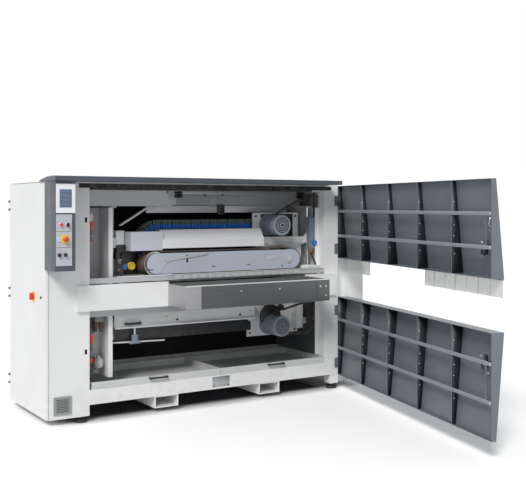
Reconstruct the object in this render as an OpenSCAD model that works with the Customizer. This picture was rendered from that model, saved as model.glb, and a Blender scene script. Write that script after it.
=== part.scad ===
// Wide deburring machine for flat sheet-metal parts, with its two front doors swung open.
// X runs to the right along the front, Y to the back and Z up from the floor, in millimetres.

/* [Body] */
// Depth of the machine body, without the feed tables
body_depth = 960; // [940:10:1200]
// Width of the electrical cabinet on the left
cabinet_w = 250; // [240:5:320]
// Width of the left post's face
left_post_w = 111; // [100:1:140]
// Width of the right post's face
right_post_w = 160; // [130:1:190]
// Clear width of the front opening between the posts
opening_w = 2360; // [2340:10:2600]
// Height of the body's underside over the floor
foot_h = 50; // [40:1:70]
// Height of the body's top edge
body_top = 1945; // [1930:5:2050]
// Height of the bottom rail's lower edge
rail_low = 137; // [110:1:160]
// Height of the bottom rail itself
rail_h = 119; // [100:1:125]
// Wall of the frame's box sections
tube_wall = 5; // [4:0.5:7]
// Thickness of folded sheet metal
sheet_t = 3; // [2.5:0.5:4]
// Width of the drive housing on the right
side_housing_w = 190; // [150:5:240]

/* [Feed table] */
// Height of the feed belts' top face
belt_top = 1092; // [1085:1:1096]
// Width of the feed tables over their side plates
table_w = 1447; // [1380:1:1480]
// How far the infeed table stands out of the front
table_reach = 350; // [330:5:400]
// Height of the table's stainless front plate
apron_h = 200; // [180:1:203]
// Radius of the feed belts' rollers
roller_r = 45; // [35:1:50]
// Thickness of the feed belts
belt_t = 4; // [3:0.5:6]
// Height of the white beams beside the table
beam_h = 208; // [180:1:212]

/* [Doors] */
// Angle at which both front doors stand open
door_open = 76.5; // [60:0.5:90]
// Width of each door
door_w = 2615; // [2560:5:2620]
// Height of the upper door
upper_door_h = 690; // [640:5:700]
// Height of the lower door
lower_door_h = 745; // [700:5:750]
// Thickness of a door at its thin edge
door_thin = 38; // [34:1:60]
// Thickness of a door at its thick edge
door_thick = 102; // [90:1:110]
// Length of the curtain's strips
strip_h = 135; // [90:1:138]
// Number of strip places in the curtain
strip_n = 27; // [14:1:30]

/* [Processing units] */
// Radius of the sanding belt over its pulleys
sanding_r = 106; // [95:1:107]
// Width of the sanding belt
sanding_w = 150; // [120:1:160]
// Distance between the sanding belt's pulleys
sanding_span = 1400; // [1350:5:1420]
// Radius of the drive motors
motor_r = 95; // [80:1:97]
// Length of the drive motors
motor_l = 235; // [200:1:240]

/* [Dust trays] */
// Depth of each tray, front to back
tray_depth = 690; // [600:5:720]
// Height of each tray
tray_h = 60; // [50:1:64]

/* [Hidden] */

$fn = 64;
cut = 1;          // overrun of every cut
seat = 0.3;       // gap at which one piece rests beside another
run_gap = 0.05;   // radial clearance of a turning fit

// Stations across the front, from the cabinet's outer face
open_x0 = cabinet_w + left_post_w;
open_x1 = open_x0 + opening_w;
post_x1 = open_x1 + right_post_w;
rail_top = rail_low + rail_h;
post_d = 100;
rear_y0 = body_depth - post_d;

// Frame
leg_inset = 70;
top_rail_h = 62;
top_rail_y = 40;
fork_x = 1056;
fork_pitch = 1042;
fork_w = 222;
fork_h = 100;
fork_wall = 9;
fork_inset = 4;
foot_r = 52;
foot_pad_h = 26;
foot_neck_r = 30;
foot_flange = 8;
runner_w = 28;
runner_h = 60;

// Electrical cabinet
cab_door_t = 20;
cab_gap = 4;
cab_lip = 30;
cab_x0 = cab_door_t + cab_gap;
plate_back = 45;
plate_margin = 70;
spacer_r = 8;
spacer_inset = 30;
gear_row_shares = [0.12, 0.3, 0.48, 0.66, 0.84];
gear_h = 84;
gear_rail_h = 35;
gear_rail_t = 8;
gear_depth = 92;
gear_n = 8;
gear_margin = 40;
gear_gap = 6;
wire_duct_h = 40;
wire_duct_d = 60;
wire_duct_drop = 110;
fan_size = 143;
fan_x = 60;
fan_z = 87;
fan_t = 12;
fan_border = 17;
fan_slots = 9;
fan_land = 4;
fan_plug = 45;
cab_hinge_r = 7;
cab_pin_r = 4;
cab_hinge_h = 90;
cab_hinge_out = 9;
cab_hinge_shares = [0.1, 0.5, 0.9];
cab_eye_h = 20;
switch_y = 310;
switch_z = 1013;
switch_plate = 78;
switch_plate_t = 4;
switch_base_r = 26;
switch_base_t = 9;
switch_grip_w = 13;
switch_grip_l = 56;
switch_grip_t = 22;
switch_shaft_r = 6;
switch_body = 44;
switch_body_d = 36;
lock_y = 124;
lock_z = 1018;
lock_r = 12;
lock_t = 5;
lock_bit_r = 4;
lock_bit_h = 6;
lock_shank_r = 8;
lock_cam_l = 30;
lock_cam_w = 14;
lock_cam_t = 4;

// Operator panel
panel_x0 = -13;
panel_front_x = -6;
panel_x1 = 157;
panel_d = 225;
panel_bevel = 75;
panel_z0 = body_top - 698;
panel_y = -panel_d;
bezel_x = 0;
bezel_w = 154;
bezel_z0 = body_top - 247;
bezel_h = 226;
bezel_t = 7;
screen_side = 27;
screen_end = 42;
screen_sink = 3;
bplate_x = 0;
bplate_w = 128;
bplate_z0 = body_top - 656;
bplate_h = 398;
bplate_t = 3;
bplate_y = panel_y - bplate_t;
start_x = 43;
selector_x = 95;
row1_z = body_top - 339;
lamp_x = 26;
estop_x = 70;
row2_z = body_top - 450;
knob1_x = 26;
knob2_x = 74;
row3_z = body_top - 571;
plate_lines = [body_top - 390, body_top - 513];
plate_line_w = 2;
button_r = 14;
button_h = 11;
button_travel = 4;
stem_r = 8;
stem_l = 34;
stem_gap = 0.05;
estop_r = 21;
estop_h = 14;
estop_neck_r = 14;
estop_neck_h = 16;
selector_r = 14;
selector_h = 8;
selector_bar_w = 9;
selector_bar_l = 34;
selector_bar_t = 14;
knob_r = 14;
knob_h = 18;
knob_mark_w = 3;
ring_r = 19;
ring_t = 3;
estop_ring_r = 31;
ring_gap = 1;

// Visor, a shallow arc that overhangs the front, on the roof panel's level
panel_t = 3;
visor_x0 = -15;
visor_x1 = 2740;
visor_front = -255;
visor_crown_y = -200;
visor_back = 135;
visor_low = body_top + panel_t + seat;
visor_high = 40;
visor_drop = 36;
visor_run = visor_back - visor_crown_y;
visor_arc_r = (visor_run * visor_run + visor_drop * visor_drop) / (2 * visor_drop);
visor_steps = 14;
visor_lip_drop = 3;

// Drive housing on the right
side_gap_w = 116;
side_recess = 60;
side_top = body_top - 45;
side_x0 = post_x1;
side_x1 = side_x0 + side_gap_w;
side_x2 = side_x1 + side_housing_w;

// Rear and roof panels
outfeed_z0 = 860;
outfeed_z1 = 1250;
outfeed_margin = 40;

// Inner walls
wall_t = 5;
wall_flange = 37;
wall_y0 = post_d + seat;
left_wall_x = 566;
wall_z0 = rail_top + tray_h + 8;
wall_z1 = body_top - 209;

// Feed tables, one before and one behind the processing units
table_x0 = 1063;
table_x1 = table_x0 + table_w;
table_back = 300;
side_plate_t = 8;
plate_low = belt_top - 190;
roller_z = belt_top - belt_t - roller_r;
plate_high = belt_top - belt_t - cut;
infeed_y1 = 28;
outfeed_y0 = 500;
roller_inset = 58;
shaft_r = 12;
belt_margin = 14;
bed_t = 4;
bed_gap = 1.5;
apron_top = belt_top + 3;
apron_y = -table_reach;
cap_w = 138;
cap_t = 5;
cap_lip = 6;
end_cap_r = 34;
end_cap_t = 14;
beam_top = 1108;
beam_out = 25;
beam_back = 40;
beam_bracket_x = 2937;
cross_h = 60;
cross_d = 50;

// Processing frame round the upper unit
bar_z0 = 1118;
bar_h = 42;
bar_d = 26;
bar_y0 = 4;
bar_y1 = 760;
end_w = 110;
column_r = 18;
column_y = [190, 680];
column_inset = 62;
column_z1 = wall_z1;
tie_h = 15;
tie_w = 60;
header_y = 420;
header_d = 60;
header_z0 = wall_z1 + 25;
header_h = 164;
header_lip = 14;

// Upper unit
unit_z = 1258;
unit_x0 = 980;
belt_y = 70;
pulley_gap = 0.4;
sanding_t = 2;
pulley_w = 140;
axle_r = 15;
hub_r = 40;
cover_t = 8;
cover_r = 88;
cover_y = belt_y - 24;
cover_disc_r = 84;
cover_disc_t = 4;
cover_pin_r = 8;
frame_plate_y = 232;
frame_plate_t = 14;
frame_plate_r = 94;
bush_r = 34;
bush_h = 84;
beam_z0 = 1400;
unit_beam_h = 60;
unit_beam_d = 40;
motor_x = 2262;
motor_z = 1573;
motor_plate_x0 = 2092;
motor_plate_x1 = 2608;
motor_plate_z0 = 1360;
motor_plate_z1 = 1688;
motor_plate_t = 14;
motor_plate_y = 272;
motor_flange_t = 12;
motor_flange_r = 100;
cowl_l = 60;
motor_shaft_r = 14;
fin_n = 24;
fin_t = 3;
fin_h = 9;
eye_r = 20;
eye_t = 5;
eye_stem = 12;
hood_box_x0 = 754;
hood_box_x1 = 1052;
hood_box_z0 = 1372;
hood_box_z1 = 1533;
hood_x1 = 2085;
hood_z0 = 1386;
hood_bend_z = 1457;
hood_z1 = 1545;
hood_slope = 68;
hood_y0 = 72;
hood_d = 130;
lever_z = 1286;
lever_l = 400;
lever_w = 16;
lever_t = 8;
lever_bar_t = 6;
lever_tilt = 6.5;
lever_boss_r = 17;
lever_x = unit_x0 + cover_disc_r + lever_boss_r;
lever_pin_r = 7;
lever_y1 = cover_y - seat;
brush_y = 345;
brush_w = 62;
brush_z = 1391;
brush_r = 200;
brush_belt_t = 6;
brush_h = 36;
brush_x0 = 1140;
brush_span = 1180;
brush_block = 70;
brush_pitch = 92;
brush_plate_t = 8;

// Lower unit, the upper one's mirror image under the table
lower_guard_z = 940;
lower_guard_r = 92;
lower_x0 = 640;
lower_x1 = 2028;
lower_panel_y = 150;
lower_panel_z0 = 722;
lower_panel_z1 = 838;
lower_lip = 24;
lower_handle_z = 790;
lower_plate_x0 = 2030;
lower_plate_x1 = 2600;
lower_plate_z0 = 524;
lower_plate_z1 = 836;
lower_motor_z = 632;
lower_beam_z0 = 600;
lower_beam_h = 60;
rod_r = 9;
rod_block = 46;
block_share = 0.35;
apron_bolt_shares = [0.36, 0.63];

// Interior fittings
duct_x1 = 1160;
duct_z0 = wall_z1 + tie_h + seat;
duct_z1 = body_top - 37;
duct_y0 = 112;
duct_d = 290;
duct_slant = 70;
interlock_w = 36;
interlock_d = 44;
interlock_y = 20;
interlock_tops = [body_top - 255, 700];
interlock_parts = [58, 46, 62, 40];
interlock_gap = 7;
keyhole_x = 331;
keyhole_w = 22;
keyhole_h = 40;
keyhole_z = [body_top - 305, 570];
valve_x = 378;
valve_y = 210;
valve_z = 380;
valve_w = 54;
valve_h = 150;
valve_d = 90;
bowl_r = 34;
bowl_h = 120;
port_share = 0.286;
port_rise = 2.5;
jbox_w = 95;
jbox_y = 108;
jbox_d = 44;
jbox_z = 1343;
jbox_h = 302;
gland_r = 11;
gland_h = 22;
gland_n = 3;
gland_pitch = 28;
cable_r = 10;
cable_sides = 10;
cable_steps = 6;
cable_normal = [0.2, 1, 0.3];
cable_pitch = 13;
cable_swing = 1.5;

// Trays
tray_gap = 4;
tray_x0 = open_x0 + 24;
tray_split = 1584;
tray_x1 = open_x1 - tray_gap;
tray_wall = 3;
tray_z = rail_top + seat;
tray_front_t = 4;
handle_l = 170;
handle_h = 14;
handle_out = 30;
handle_foot = 20;
handle_t = 8;
left_handle_x = 973;
right_handle_x = 2163;
handle_z = 300;

// Doors, drawn closed and then swung about the hinge line
hinge_x = post_x1 - 4;
hinge_y = -16;
door_gap = 4;
door_side = 8;
door_sheet = 3;
door_x1 = hinge_x - door_side;
door_x0 = door_x1 - door_w;
upper_door_z1 = body_top - 2;
upper_door_z0 = upper_door_z1 - upper_door_h;
lower_door_z1 = 882;
lower_door_z0 = lower_door_z1 - lower_door_h;
bay_n = 5;
rib_t = 4;
door_bar_t = 10;
door_bar_h = 26;
upper_bar_shares = [0.35, 0.69];
lower_bar_shares = [0.29, 0.65];
strip_t = 3;
strip_gap = 1.5;
curtain_bar_h = 14;
curtain_bar_d = 16;
strip_y = door_thick - curtain_bar_d / 2;
curtain_gap_shares = [0.2, 0.585];
hinge_h = 96;
hinge_arm_h = 14;
hinge_eye_r = 7.5;
hinge_pin_r = 5;
hinge_knuckle_r = 9;
hinge_leaf_w = 40;
hinge_leaf_t = 3;
upper_hinge_z = [upper_door_z0 + 40, upper_door_z1 - 190];
lower_hinge_z = [lower_door_z0 + 60, lower_door_z1 - 180];
latch_x = 348;
latch_rod_r = 8;
latch_lever_l = 104;
latch_lever_w = 28;
latch_lever_t = 18;
latch_boss_r = 20;
latch_grip_l = 96;
latch_grip_w = 24;
latch_grip_t = 16;
latch_grip_gap = 12;
tongue_w = 12;
tongue_h = 26;
tongue_reach = 14;
bolt_r = 9;
bolt_h = 5;

// The machine's bounding box stands centred on the origin
door_end = (door_x0 - hinge_x) * sin(door_open);
door_corner = (hinge_y + door_gap + door_thick) * cos(door_open);
min_x = -switch_plate_t - switch_base_t - switch_grip_t;
min_y = hinge_y + door_end - door_corner;
max_y = body_depth + table_back;
centre_x = (side_x2 + min_x) / 2;
centre_y = (min_y + max_y) / 2;

// Shared forms
module machine() { translate([-centre_x, -centre_y, 0]) children(); }

module swung() {
    translate([hinge_x, hinge_y, 0]) rotate([0, 0, door_open]) translate([-hinge_x, -hinge_y, 0]) children();
}

module span(x, y, z) {
    translate([x[0], y[0], z[0]]) cube([x[1] - x[0], y[1] - y[0], z[1] - z[0]]);
}

// Box sections along each axis, open at both ends
module tube_x(x, y, z, w = tube_wall) {
    difference() {
        span(x, y, z);
        span([x[0] - cut, x[1] + cut], [y[0] + w, y[1] - w], [z[0] + w, z[1] - w]);
    }
}

module tube_y(x, y, z, w = tube_wall) {
    difference() {
        span(x, y, z);
        span([x[0] + w, x[1] - w], [y[0] - cut, y[1] + cut], [z[0] + w, z[1] - w]);
    }
}

module tube_z(x, y, z, w = tube_wall) {
    difference() {
        span(x, y, z);
        span([x[0] + w, x[1] - w], [y[0] + w, y[1] - w], [z[0] - cut, z[1] + cut]);
    }
}

// A closed box of sheet metal
module sheet_box(x, y, z, w = sheet_t) {
    difference() {
        span(x, y, z);
        span([x[0] + w, x[1] - w], [y[0] + w, y[1] - w], [z[0] + w, z[1] - w]);
    }
}

module round_x(r, x, y, z) {
    translate([x[0], y, z]) rotate([0, 90, 0]) cylinder(r = r, h = x[1] - x[0]);
}

module round_y(r, x, y, z) {
    translate([x, y[0], z]) rotate([-90, 0, 0]) cylinder(r = r, h = y[1] - y[0]);
}

module round_z(r, x, y, z) {
    translate([x, y, z[0]]) cylinder(r = r, h = z[1] - z[0]);
}

// An outline in Y and Z, drawn out along X
module profile_x(x, points) {
    translate([x[0], 0, 0]) rotate([90, 0, 90]) linear_extrude(x[1] - x[0]) polygon(points);
}

// An upright stadium across the machine: a plate with two round ends
module stadium(r, x, length, y, z) {
    span([x, x + length], y, [z - r, z + r]);
    round_y(r, x, y, z);
    round_y(r, x + length, y, z);
}

// Frame
module corner_foot(x, y) {
    round_z(foot_r, x, y, [0, foot_pad_h]);
    round_z(foot_neck_r, x, y, [foot_pad_h, foot_h - foot_flange]);
    round_z(foot_r, x, y, [foot_h - foot_flange, foot_h]);
}

module frame_posts() color("whitesmoke") machine() {
    difference() {
        tube_z([cabinet_w, open_x0], [0, post_d], [foot_h, body_top]);
        for (z = keyhole_z) {
            span([keyhole_x - keyhole_w / 2, keyhole_x + keyhole_w / 2], [-cut, tube_wall + cut],
                [z - keyhole_h / 2, z + keyhole_h / 2]);
        }
    }
    tube_z([open_x1, post_x1], [0, post_d], [rail_low, body_top]);
    tube_z([open_x1 + leg_inset, post_x1], [0, post_d], [foot_h, rail_low]);
    tube_z([cabinet_w, open_x0], [rear_y0, body_depth], [foot_h, body_top]);
    tube_z([open_x1, post_x1], [rear_y0, body_depth], [rail_low, body_top]);
    tube_z([open_x1 + leg_inset, post_x1], [rear_y0, body_depth], [foot_h, rail_low]);
}

module frame_rails() color("whitesmoke") machine() {
    tube_x([open_x0, open_x1], [0, post_d], [rail_low, rail_top]);
    tube_x([open_x0, open_x1], [rear_y0, body_depth - panel_t], [rail_low, rail_top]);
    tube_x([open_x0, open_x1], [top_rail_y, post_d], [body_top - top_rail_h, body_top]);
    tube_x([open_x0, open_x1], [rear_y0, body_depth - panel_t], [body_top - top_rail_h, body_top]);
    for (x = [open_x0 - left_post_w, post_x1 - post_d]) {
        tube_y([x, x + post_d], [post_d, rear_y0], [rail_low, rail_top]);
        tube_y([x, x + post_d], [post_d, rear_y0], [body_top - top_rail_h, body_top]);
    }
    for (x = [open_x0, tray_split - runner_w / 2, open_x1 - runner_w]) {
        tube_y([x, x + runner_w], [post_d, rear_y0], [rail_top - runner_h, rail_top], sheet_t);
    }
}

module fork_pockets() color("gainsboro") machine() {
    for (x = [fork_x, fork_x + fork_pitch]) {
        tube_y([x - fork_w / 2, x + fork_w / 2], [fork_inset, body_depth - fork_inset],
            [rail_low - fork_h, rail_low], fork_wall);
    }
}

module machine_feet() color("dimgray") machine() {
    for (y = [post_d / 2, body_depth - post_d / 2]) {
        corner_foot(cabinet_w + left_post_w / 2, y);
        corner_foot(post_x1 - (right_post_w - leg_inset) / 2, y);
    }
}

// Electrical cabinet
cab_plate_x = cabinet_w - plate_back;

module cabinet_shell() color("whitesmoke") machine() {
    difference() {
        span([cab_x0, cabinet_w], [0, body_depth], [foot_h, body_top]);
        span([cab_x0 + sheet_t, cabinet_w - sheet_t], [sheet_t, body_depth - sheet_t],
            [foot_h + sheet_t, body_top - sheet_t]);
        span([cab_x0 - cut, cab_x0 + sheet_t + cut], [cab_lip, body_depth - cab_lip],
            [foot_h + cab_lip, body_top - cab_lip]);
        span([fan_x + fan_border, fan_x + fan_size - fan_border], [-cut, sheet_t + cut],
            [fan_z + fan_border, fan_z + fan_size - fan_border]);
        for (z = [row1_z, row2_z, row3_z]) {
            span([fan_x, fan_x + fan_border], [-cut, sheet_t + cut], [z, z + fan_border]);
        }
    }
}

module electrical_gear() color("silver") machine() {
    plate_y = [plate_margin, body_depth - plate_margin];
    plate_z = [foot_h + plate_margin, body_top - plate_margin];
    span([cab_plate_x - sheet_t, cab_plate_x], plate_y, plate_z);
    for (y = [plate_y[0] + spacer_inset, plate_y[1] - spacer_inset]) {
        for (z = [plate_z[0] + spacer_inset, plate_z[1] - spacer_inset]) {
            round_x(spacer_r, [cab_plate_x, cabinet_w - sheet_t], y, z);
        }
    }
    face = cab_plate_x - sheet_t;
    row_y = [plate_y[0] + gear_margin, plate_y[1] - gear_margin];
    pitch = (row_y[1] - row_y[0]) / gear_n;
    for (share = gear_row_shares) {
        z = plate_z[0] + share * (plate_z[1] - plate_z[0]);
        span([face - gear_rail_t, face], row_y, [z - gear_rail_h / 2, z + gear_rail_h / 2]);
        for (i = [0 : gear_n - 1]) {
            y = row_y[0] + i * pitch;
            span([face - gear_rail_t - gear_depth, face - gear_rail_t], [y, y + pitch - gear_gap],
                [z - gear_h / 2, z + gear_h / 2]);
        }
        span([face - wire_duct_d, face], row_y,
            [z - wire_duct_drop, z - wire_duct_drop + wire_duct_h]);
    }
}

module filter_fan() color("gray") machine() {
    side = fan_size - 2 * fan_border;
    slot = side / (2 * fan_slots);
    difference() {
        span([fan_x, fan_x + fan_size], [-fan_t, 0], [fan_z, fan_z + fan_size]);
        for (i = [0 : fan_slots - 1]) {
            span([fan_x + fan_border + fan_land, fan_x + fan_size - fan_border - fan_land],
                [-fan_t - cut, cut],
                [fan_z + fan_border + (2 * i + 0.5) * slot, fan_z + fan_border + (2 * i + 1.5) * slot]);
        }
    }
    sheet_box([fan_x + fan_border, fan_x + fan_size - fan_border], [0, fan_plug],
        [fan_z + fan_border, fan_z + fan_size - fan_border]);
}

// Operator panel: a folded housing with the touch screen over the button plate
module panel_outline(inset) {
    polygon([[panel_x0 + inset, -seat], [panel_x0 + inset, panel_y + panel_bevel],
        [panel_front_x + inset, panel_y + inset], [panel_x1 - inset, panel_y + inset],
        [panel_x1 - inset, -seat]]);
}

module panel_stems(extra) {
    for (x = [start_x, selector_x]) round_y(stem_r + extra, x, [bplate_y - cut, bplate_y + stem_l], row1_z);
    round_y(stem_r + extra, lamp_x, [bplate_y - cut, bplate_y + stem_l], row2_z);
    round_y(estop_neck_r + extra, estop_x, [bplate_y - cut, bplate_y + stem_l], row2_z);
    for (x = [knob1_x, knob2_x]) round_y(stem_r + extra, x, [bplate_y - cut, bplate_y + stem_l], row3_z);
}

module panel_housing() color("darkslategray") machine() {
    difference() {
        translate([0, 0, panel_z0]) linear_extrude(body_top - panel_z0) panel_outline(0);
        difference() {
            translate([0, 0, panel_z0 + sheet_t]) {
                linear_extrude(body_top - panel_z0 - 2 * sheet_t) panel_outline(sheet_t);
            }
            span([panel_x0, panel_x1], [-sheet_t - seat, 0], [panel_z0, body_top]);
        }
        panel_stems(cut);
        span([bezel_x + screen_side, bezel_x + bezel_w - screen_side],
            [panel_y - cut, panel_y + sheet_t + cut],
            [bezel_z0 + screen_end, bezel_z0 + bezel_h - screen_end]);
    }
}

module hmi_bezel() color("lightgray") machine() {
    difference() {
        span([bezel_x, bezel_x + bezel_w], [panel_y - bezel_t, panel_y], [bezel_z0, bezel_z0 + bezel_h]);
        span([bezel_x + screen_side, bezel_x + bezel_w - screen_side],
            [panel_y - bezel_t - cut, panel_y + cut],
            [bezel_z0 + screen_end, bezel_z0 + bezel_h - screen_end]);
    }
}

module hmi_screen() color("slategray") machine() {
    span([bezel_x + screen_side, bezel_x + bezel_w - screen_side],
        [panel_y - bezel_t + screen_sink, panel_y],
        [bezel_z0 + screen_end, bezel_z0 + bezel_h - screen_end]);
}

module button_plate() color("silver") machine() {
    difference() {
        union() {
            span([bplate_x, bplate_x + bplate_w], [bplate_y, panel_y], [bplate_z0, bplate_z0 + bplate_h]);
            round_y(ring_r, start_x, [bplate_y - ring_t, bplate_y], row1_z);
            round_y(ring_r, lamp_x, [bplate_y - ring_t, bplate_y], row2_z);
            round_y(estop_ring_r, estop_x, [bplate_y - ring_t, bplate_y], row2_z);
        }
        for (z = plate_lines) {
            span([bplate_x - cut, bplate_x + bplate_w + cut], [bplate_y - cut, bplate_y + cut],
                [z - plate_line_w / 2, z + plate_line_w / 2]);
        }
        round_y(button_r + ring_gap, start_x, [bplate_y - ring_t - cut, bplate_y], row1_z);
        round_y(button_r + ring_gap, lamp_x, [bplate_y - ring_t - cut, bplate_y], row2_z);
        translate([0, -ring_t, 0]) panel_stems(stem_gap);
        panel_stems(stem_gap);
    }
}

module push_button(x, z) {
    round_y(button_r, x, [bplate_y - button_h, bplate_y - button_travel - ring_gap], z);
    round_y(stem_r, x, [bplate_y - button_h, bplate_y + stem_l], z);
}

module start_button() color("orangered") machine() push_button(start_x, row1_z);

module lamp_button() color("aliceblue") machine() push_button(lamp_x, row2_z);

module estop_button() color("orangered") machine() {
    y1 = bplate_y - ring_t - estop_neck_h;
    round_y(estop_neck_r, estop_x, [y1 - estop_h, bplate_y + stem_l], row2_z);
    translate([estop_x, y1, row2_z]) rotate([90, 0, 0]) {
        cylinder(r = estop_r, h = estop_h);
        intersection() {
            translate([0, 0, estop_h - estop_r]) sphere(r = estop_r * sqrt(2));
            translate([0, 0, estop_h]) cylinder(r = estop_r, h = estop_r);
        }
    }
}

module mode_selector() color("black") machine() {
    round_y(selector_r, selector_x, [bplate_y - seat - selector_h, bplate_y - seat], row1_z);
    round_y(stem_r, selector_x, [bplate_y - seat - selector_h, bplate_y + stem_l], row1_z);
    y1 = bplate_y - seat - selector_h;
    span([selector_x - selector_bar_w / 2, selector_x + selector_bar_w / 2], [y1 - selector_bar_t, y1],
        [row1_z - selector_bar_l / 2, row1_z + selector_bar_l / 2]);
}

module rotary_knob(x) {
    round_y(stem_r, x, [bplate_y - knob_h, bplate_y + stem_l], row3_z);
    difference() {
        round_y(knob_r, x, [bplate_y - seat - knob_h, bplate_y - seat], row3_z);
        span([x - knob_mark_w / 2, x + knob_mark_w / 2],
            [bplate_y - seat - knob_h - cut, bplate_y - seat - knob_h + cut],
                [row3_z, row3_z + knob_r + cut]);
    }
}

module feed_speed_knob() color("white") machine() rotary_knob(knob1_x);

module belt_speed_knob() color("black") machine() rotary_knob(knob2_x);

// Cabinet door on the left end, with its main switch and quarter-turn lock
module cabinet_door() color("whitesmoke") machine() {
    difference() {
        union() {
            difference() {
                span([0, cab_door_t], [cab_gap, body_depth - cab_gap],
                    [foot_h + cab_gap, body_top - cab_gap]);
                span([sheet_t, cab_door_t + cut], [cab_gap + sheet_t, body_depth - cab_gap - sheet_t],
                    [foot_h + cab_gap + sheet_t, body_top - cab_gap - sheet_t]);
            }
            span([-switch_plate_t, sheet_t], [switch_y - switch_plate / 2, switch_y + switch_plate / 2],
                [switch_z - switch_plate / 2, switch_z + switch_plate / 2]);
            span([sheet_t, sheet_t + switch_body_d], [switch_y - switch_body / 2,
                switch_y + switch_body / 2],
                [switch_z - switch_body / 2, switch_z + switch_body / 2]);
            round_x(lock_r, [-lock_t, cab_door_t], lock_y, lock_z);
            for (share = cab_hinge_shares) {
                z = foot_h + share * (body_top - foot_h) - cab_hinge_h / 2;
                round_z(cab_hinge_r, -cab_hinge_out, body_depth, [z + cab_eye_h + seat,
                    z + cab_hinge_h - cab_eye_h - seat]);
                span([-cab_hinge_out, sheet_t], [body_depth - cab_gap - cab_hinge_r, body_depth - cab_gap],
                    [z + cab_eye_h + seat, z + cab_hinge_h - cab_eye_h - seat]);
            }
        }
        round_x(switch_shaft_r + run_gap, [-switch_plate_t - cut, switch_body_d + cab_door_t], switch_y,
            switch_z);
        round_x(lock_shank_r + run_gap, [-lock_t - cut, cab_door_t + cut], lock_y, lock_z);
        round_z(cab_pin_r + run_gap, -cab_hinge_out, body_depth, [foot_h, body_top]);
    }
}

module main_switch_knob() color("red") machine() {
    x1 = -switch_plate_t;
    round_x(switch_shaft_r, [x1 - switch_base_t, switch_body_d], switch_y, switch_z);
    round_x(switch_base_r, [x1 - switch_base_t, x1 - seat], switch_y, switch_z);
    span([min_x, x1 - switch_base_t], [switch_y - switch_grip_w / 2, switch_y + switch_grip_w / 2],
        [switch_z - switch_grip_l / 2, switch_z + switch_grip_l / 2]);
}

module cabinet_lock() color("black") machine() {
    difference() {
        round_x(lock_shank_r, [-lock_t, cab_door_t + lock_cam_t + seat], lock_y, lock_z);
        round_x(lock_bit_r, [-lock_t - cut, lock_bit_h], lock_y, lock_z);
    }
    span([cab_door_t + seat, cab_door_t + seat + lock_cam_t - seat],
        [lock_y - lock_cam_l, lock_y], [lock_z - lock_cam_w / 2, lock_z + lock_cam_w / 2]);
}

// Visor and the outer sheet-metal panels
function visor_arc(t) = [for (i = [0 : visor_steps])
    let (y = visor_back - i * visor_run / visor_steps)
    [y, visor_low + visor_high - t - visor_arc_r + sqrt(pow(visor_arc_r, 2) - pow(y - visor_crown_y, 2))]];

module visor() color("darkslategray") machine() {
    difference() {
        profile_x([visor_x0, visor_x1], concat(visor_arc(0),
            [[visor_front, visor_low + visor_high - visor_lip_drop], [visor_front, visor_low],
            [visor_back, visor_low]]));
        profile_x([visor_x0 + sheet_t, visor_x1 - sheet_t], concat(
            [for (p = visor_arc(sheet_t)) [min(p[0], visor_back - sheet_t), max(p[1], visor_low + sheet_t)]],
            [[visor_front + sheet_t, visor_low + visor_high - visor_lip_drop - sheet_t],
            [visor_front + sheet_t, visor_low + sheet_t], [visor_back - sheet_t, visor_low + sheet_t]]));
    }
}

module body_panels() color("whitesmoke") machine() {
    roof_z = [body_top, body_top + panel_t];
    span([0, post_x1], [0, body_depth], roof_z);
    rear = [body_depth - panel_t, body_depth];
    difference() {
        span([open_x0, open_x1], rear, [rail_low, body_top]);
        span([table_x0 - outfeed_margin, table_x1 + outfeed_margin],
            [body_depth - panel_t - cut, body_depth + cut], [outfeed_z0, outfeed_z1]);
    }
    span([visor_x1 + seat, post_x1], [0, visor_back], [body_top + panel_t, visor_low + visor_high / 2]);
}

module side_housing() color("whitesmoke") machine() {
    sheet_box([side_x0, side_x1], [side_recess, body_depth - side_recess], [foot_h, side_top]);
    sheet_box([side_x1, side_x2], [0, body_depth], [foot_h, side_top]);
}

// Inner walls that part the working room from the service room and the drive housing
module inner_walls() color("whitesmoke") machine() {
    span([left_wall_x, left_wall_x + wall_t], [wall_y0, rear_y0 - seat], [wall_z0, wall_z1]);
    span([left_wall_x, left_wall_x + wall_flange], [wall_y0, wall_y0 + wall_t], [wall_z0, wall_z1]);
    span([left_wall_x, left_wall_x + wall_flange], [rear_y0 - seat - wall_t, rear_y0 - seat],
        [wall_z0, wall_z1]);
    span([open_x0 - wall_flange, left_wall_x], [rear_y0 - seat - wall_t, rear_y0 - seat],
        [wall_z0, wall_z1]);
    span([open_x0, left_wall_x], [post_d + valve_y, post_d + valve_y + wall_t], [wall_z0, wall_z1]);
    span([open_x1 - wall_t, open_x1], [wall_y0, rear_y0 - seat], [wall_z0, wall_z1]);
    for (y = [wall_y0, rear_y0 - seat - wall_t]) {
        span([open_x1 - wall_flange, open_x1 + wall_flange], [y, y + wall_t], [wall_z0, wall_z1]);
    }
}

module beam_covers() color("whitesmoke") machine() {
    beam_z = [beam_top - beam_h, beam_top];
    sheet_box([open_x0, table_x0 - seat], [-beam_out, beam_back], beam_z);
    sheet_box([cabinet_w, open_x0], [-beam_out, -seat], beam_z);
    sheet_box([table_x1 + seat, open_x1], [-beam_out, beam_back], beam_z);
    sheet_box([open_x1, hinge_x - hinge_leaf_w], [-beam_out, -seat], beam_z);
    span([post_x1 + seat, beam_bracket_x], [side_recess - sheet_t, side_recess - seat], beam_z);
}

// Feed tables
table_strips = [[infeed_y1, belt_y - 3 * cap_t / 2], [belt_y + sanding_w, brush_y - cap_t],
    [brush_y + brush_w + cap_t, outfeed_y0]];
belt_x = [table_x0 + belt_margin, table_x1 - belt_margin];
infeed_rollers = [apron_y + roller_inset, infeed_y1 - roller_inset];
outfeed_rollers = [outfeed_y0 + roller_inset, max_y - roller_inset];

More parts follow.
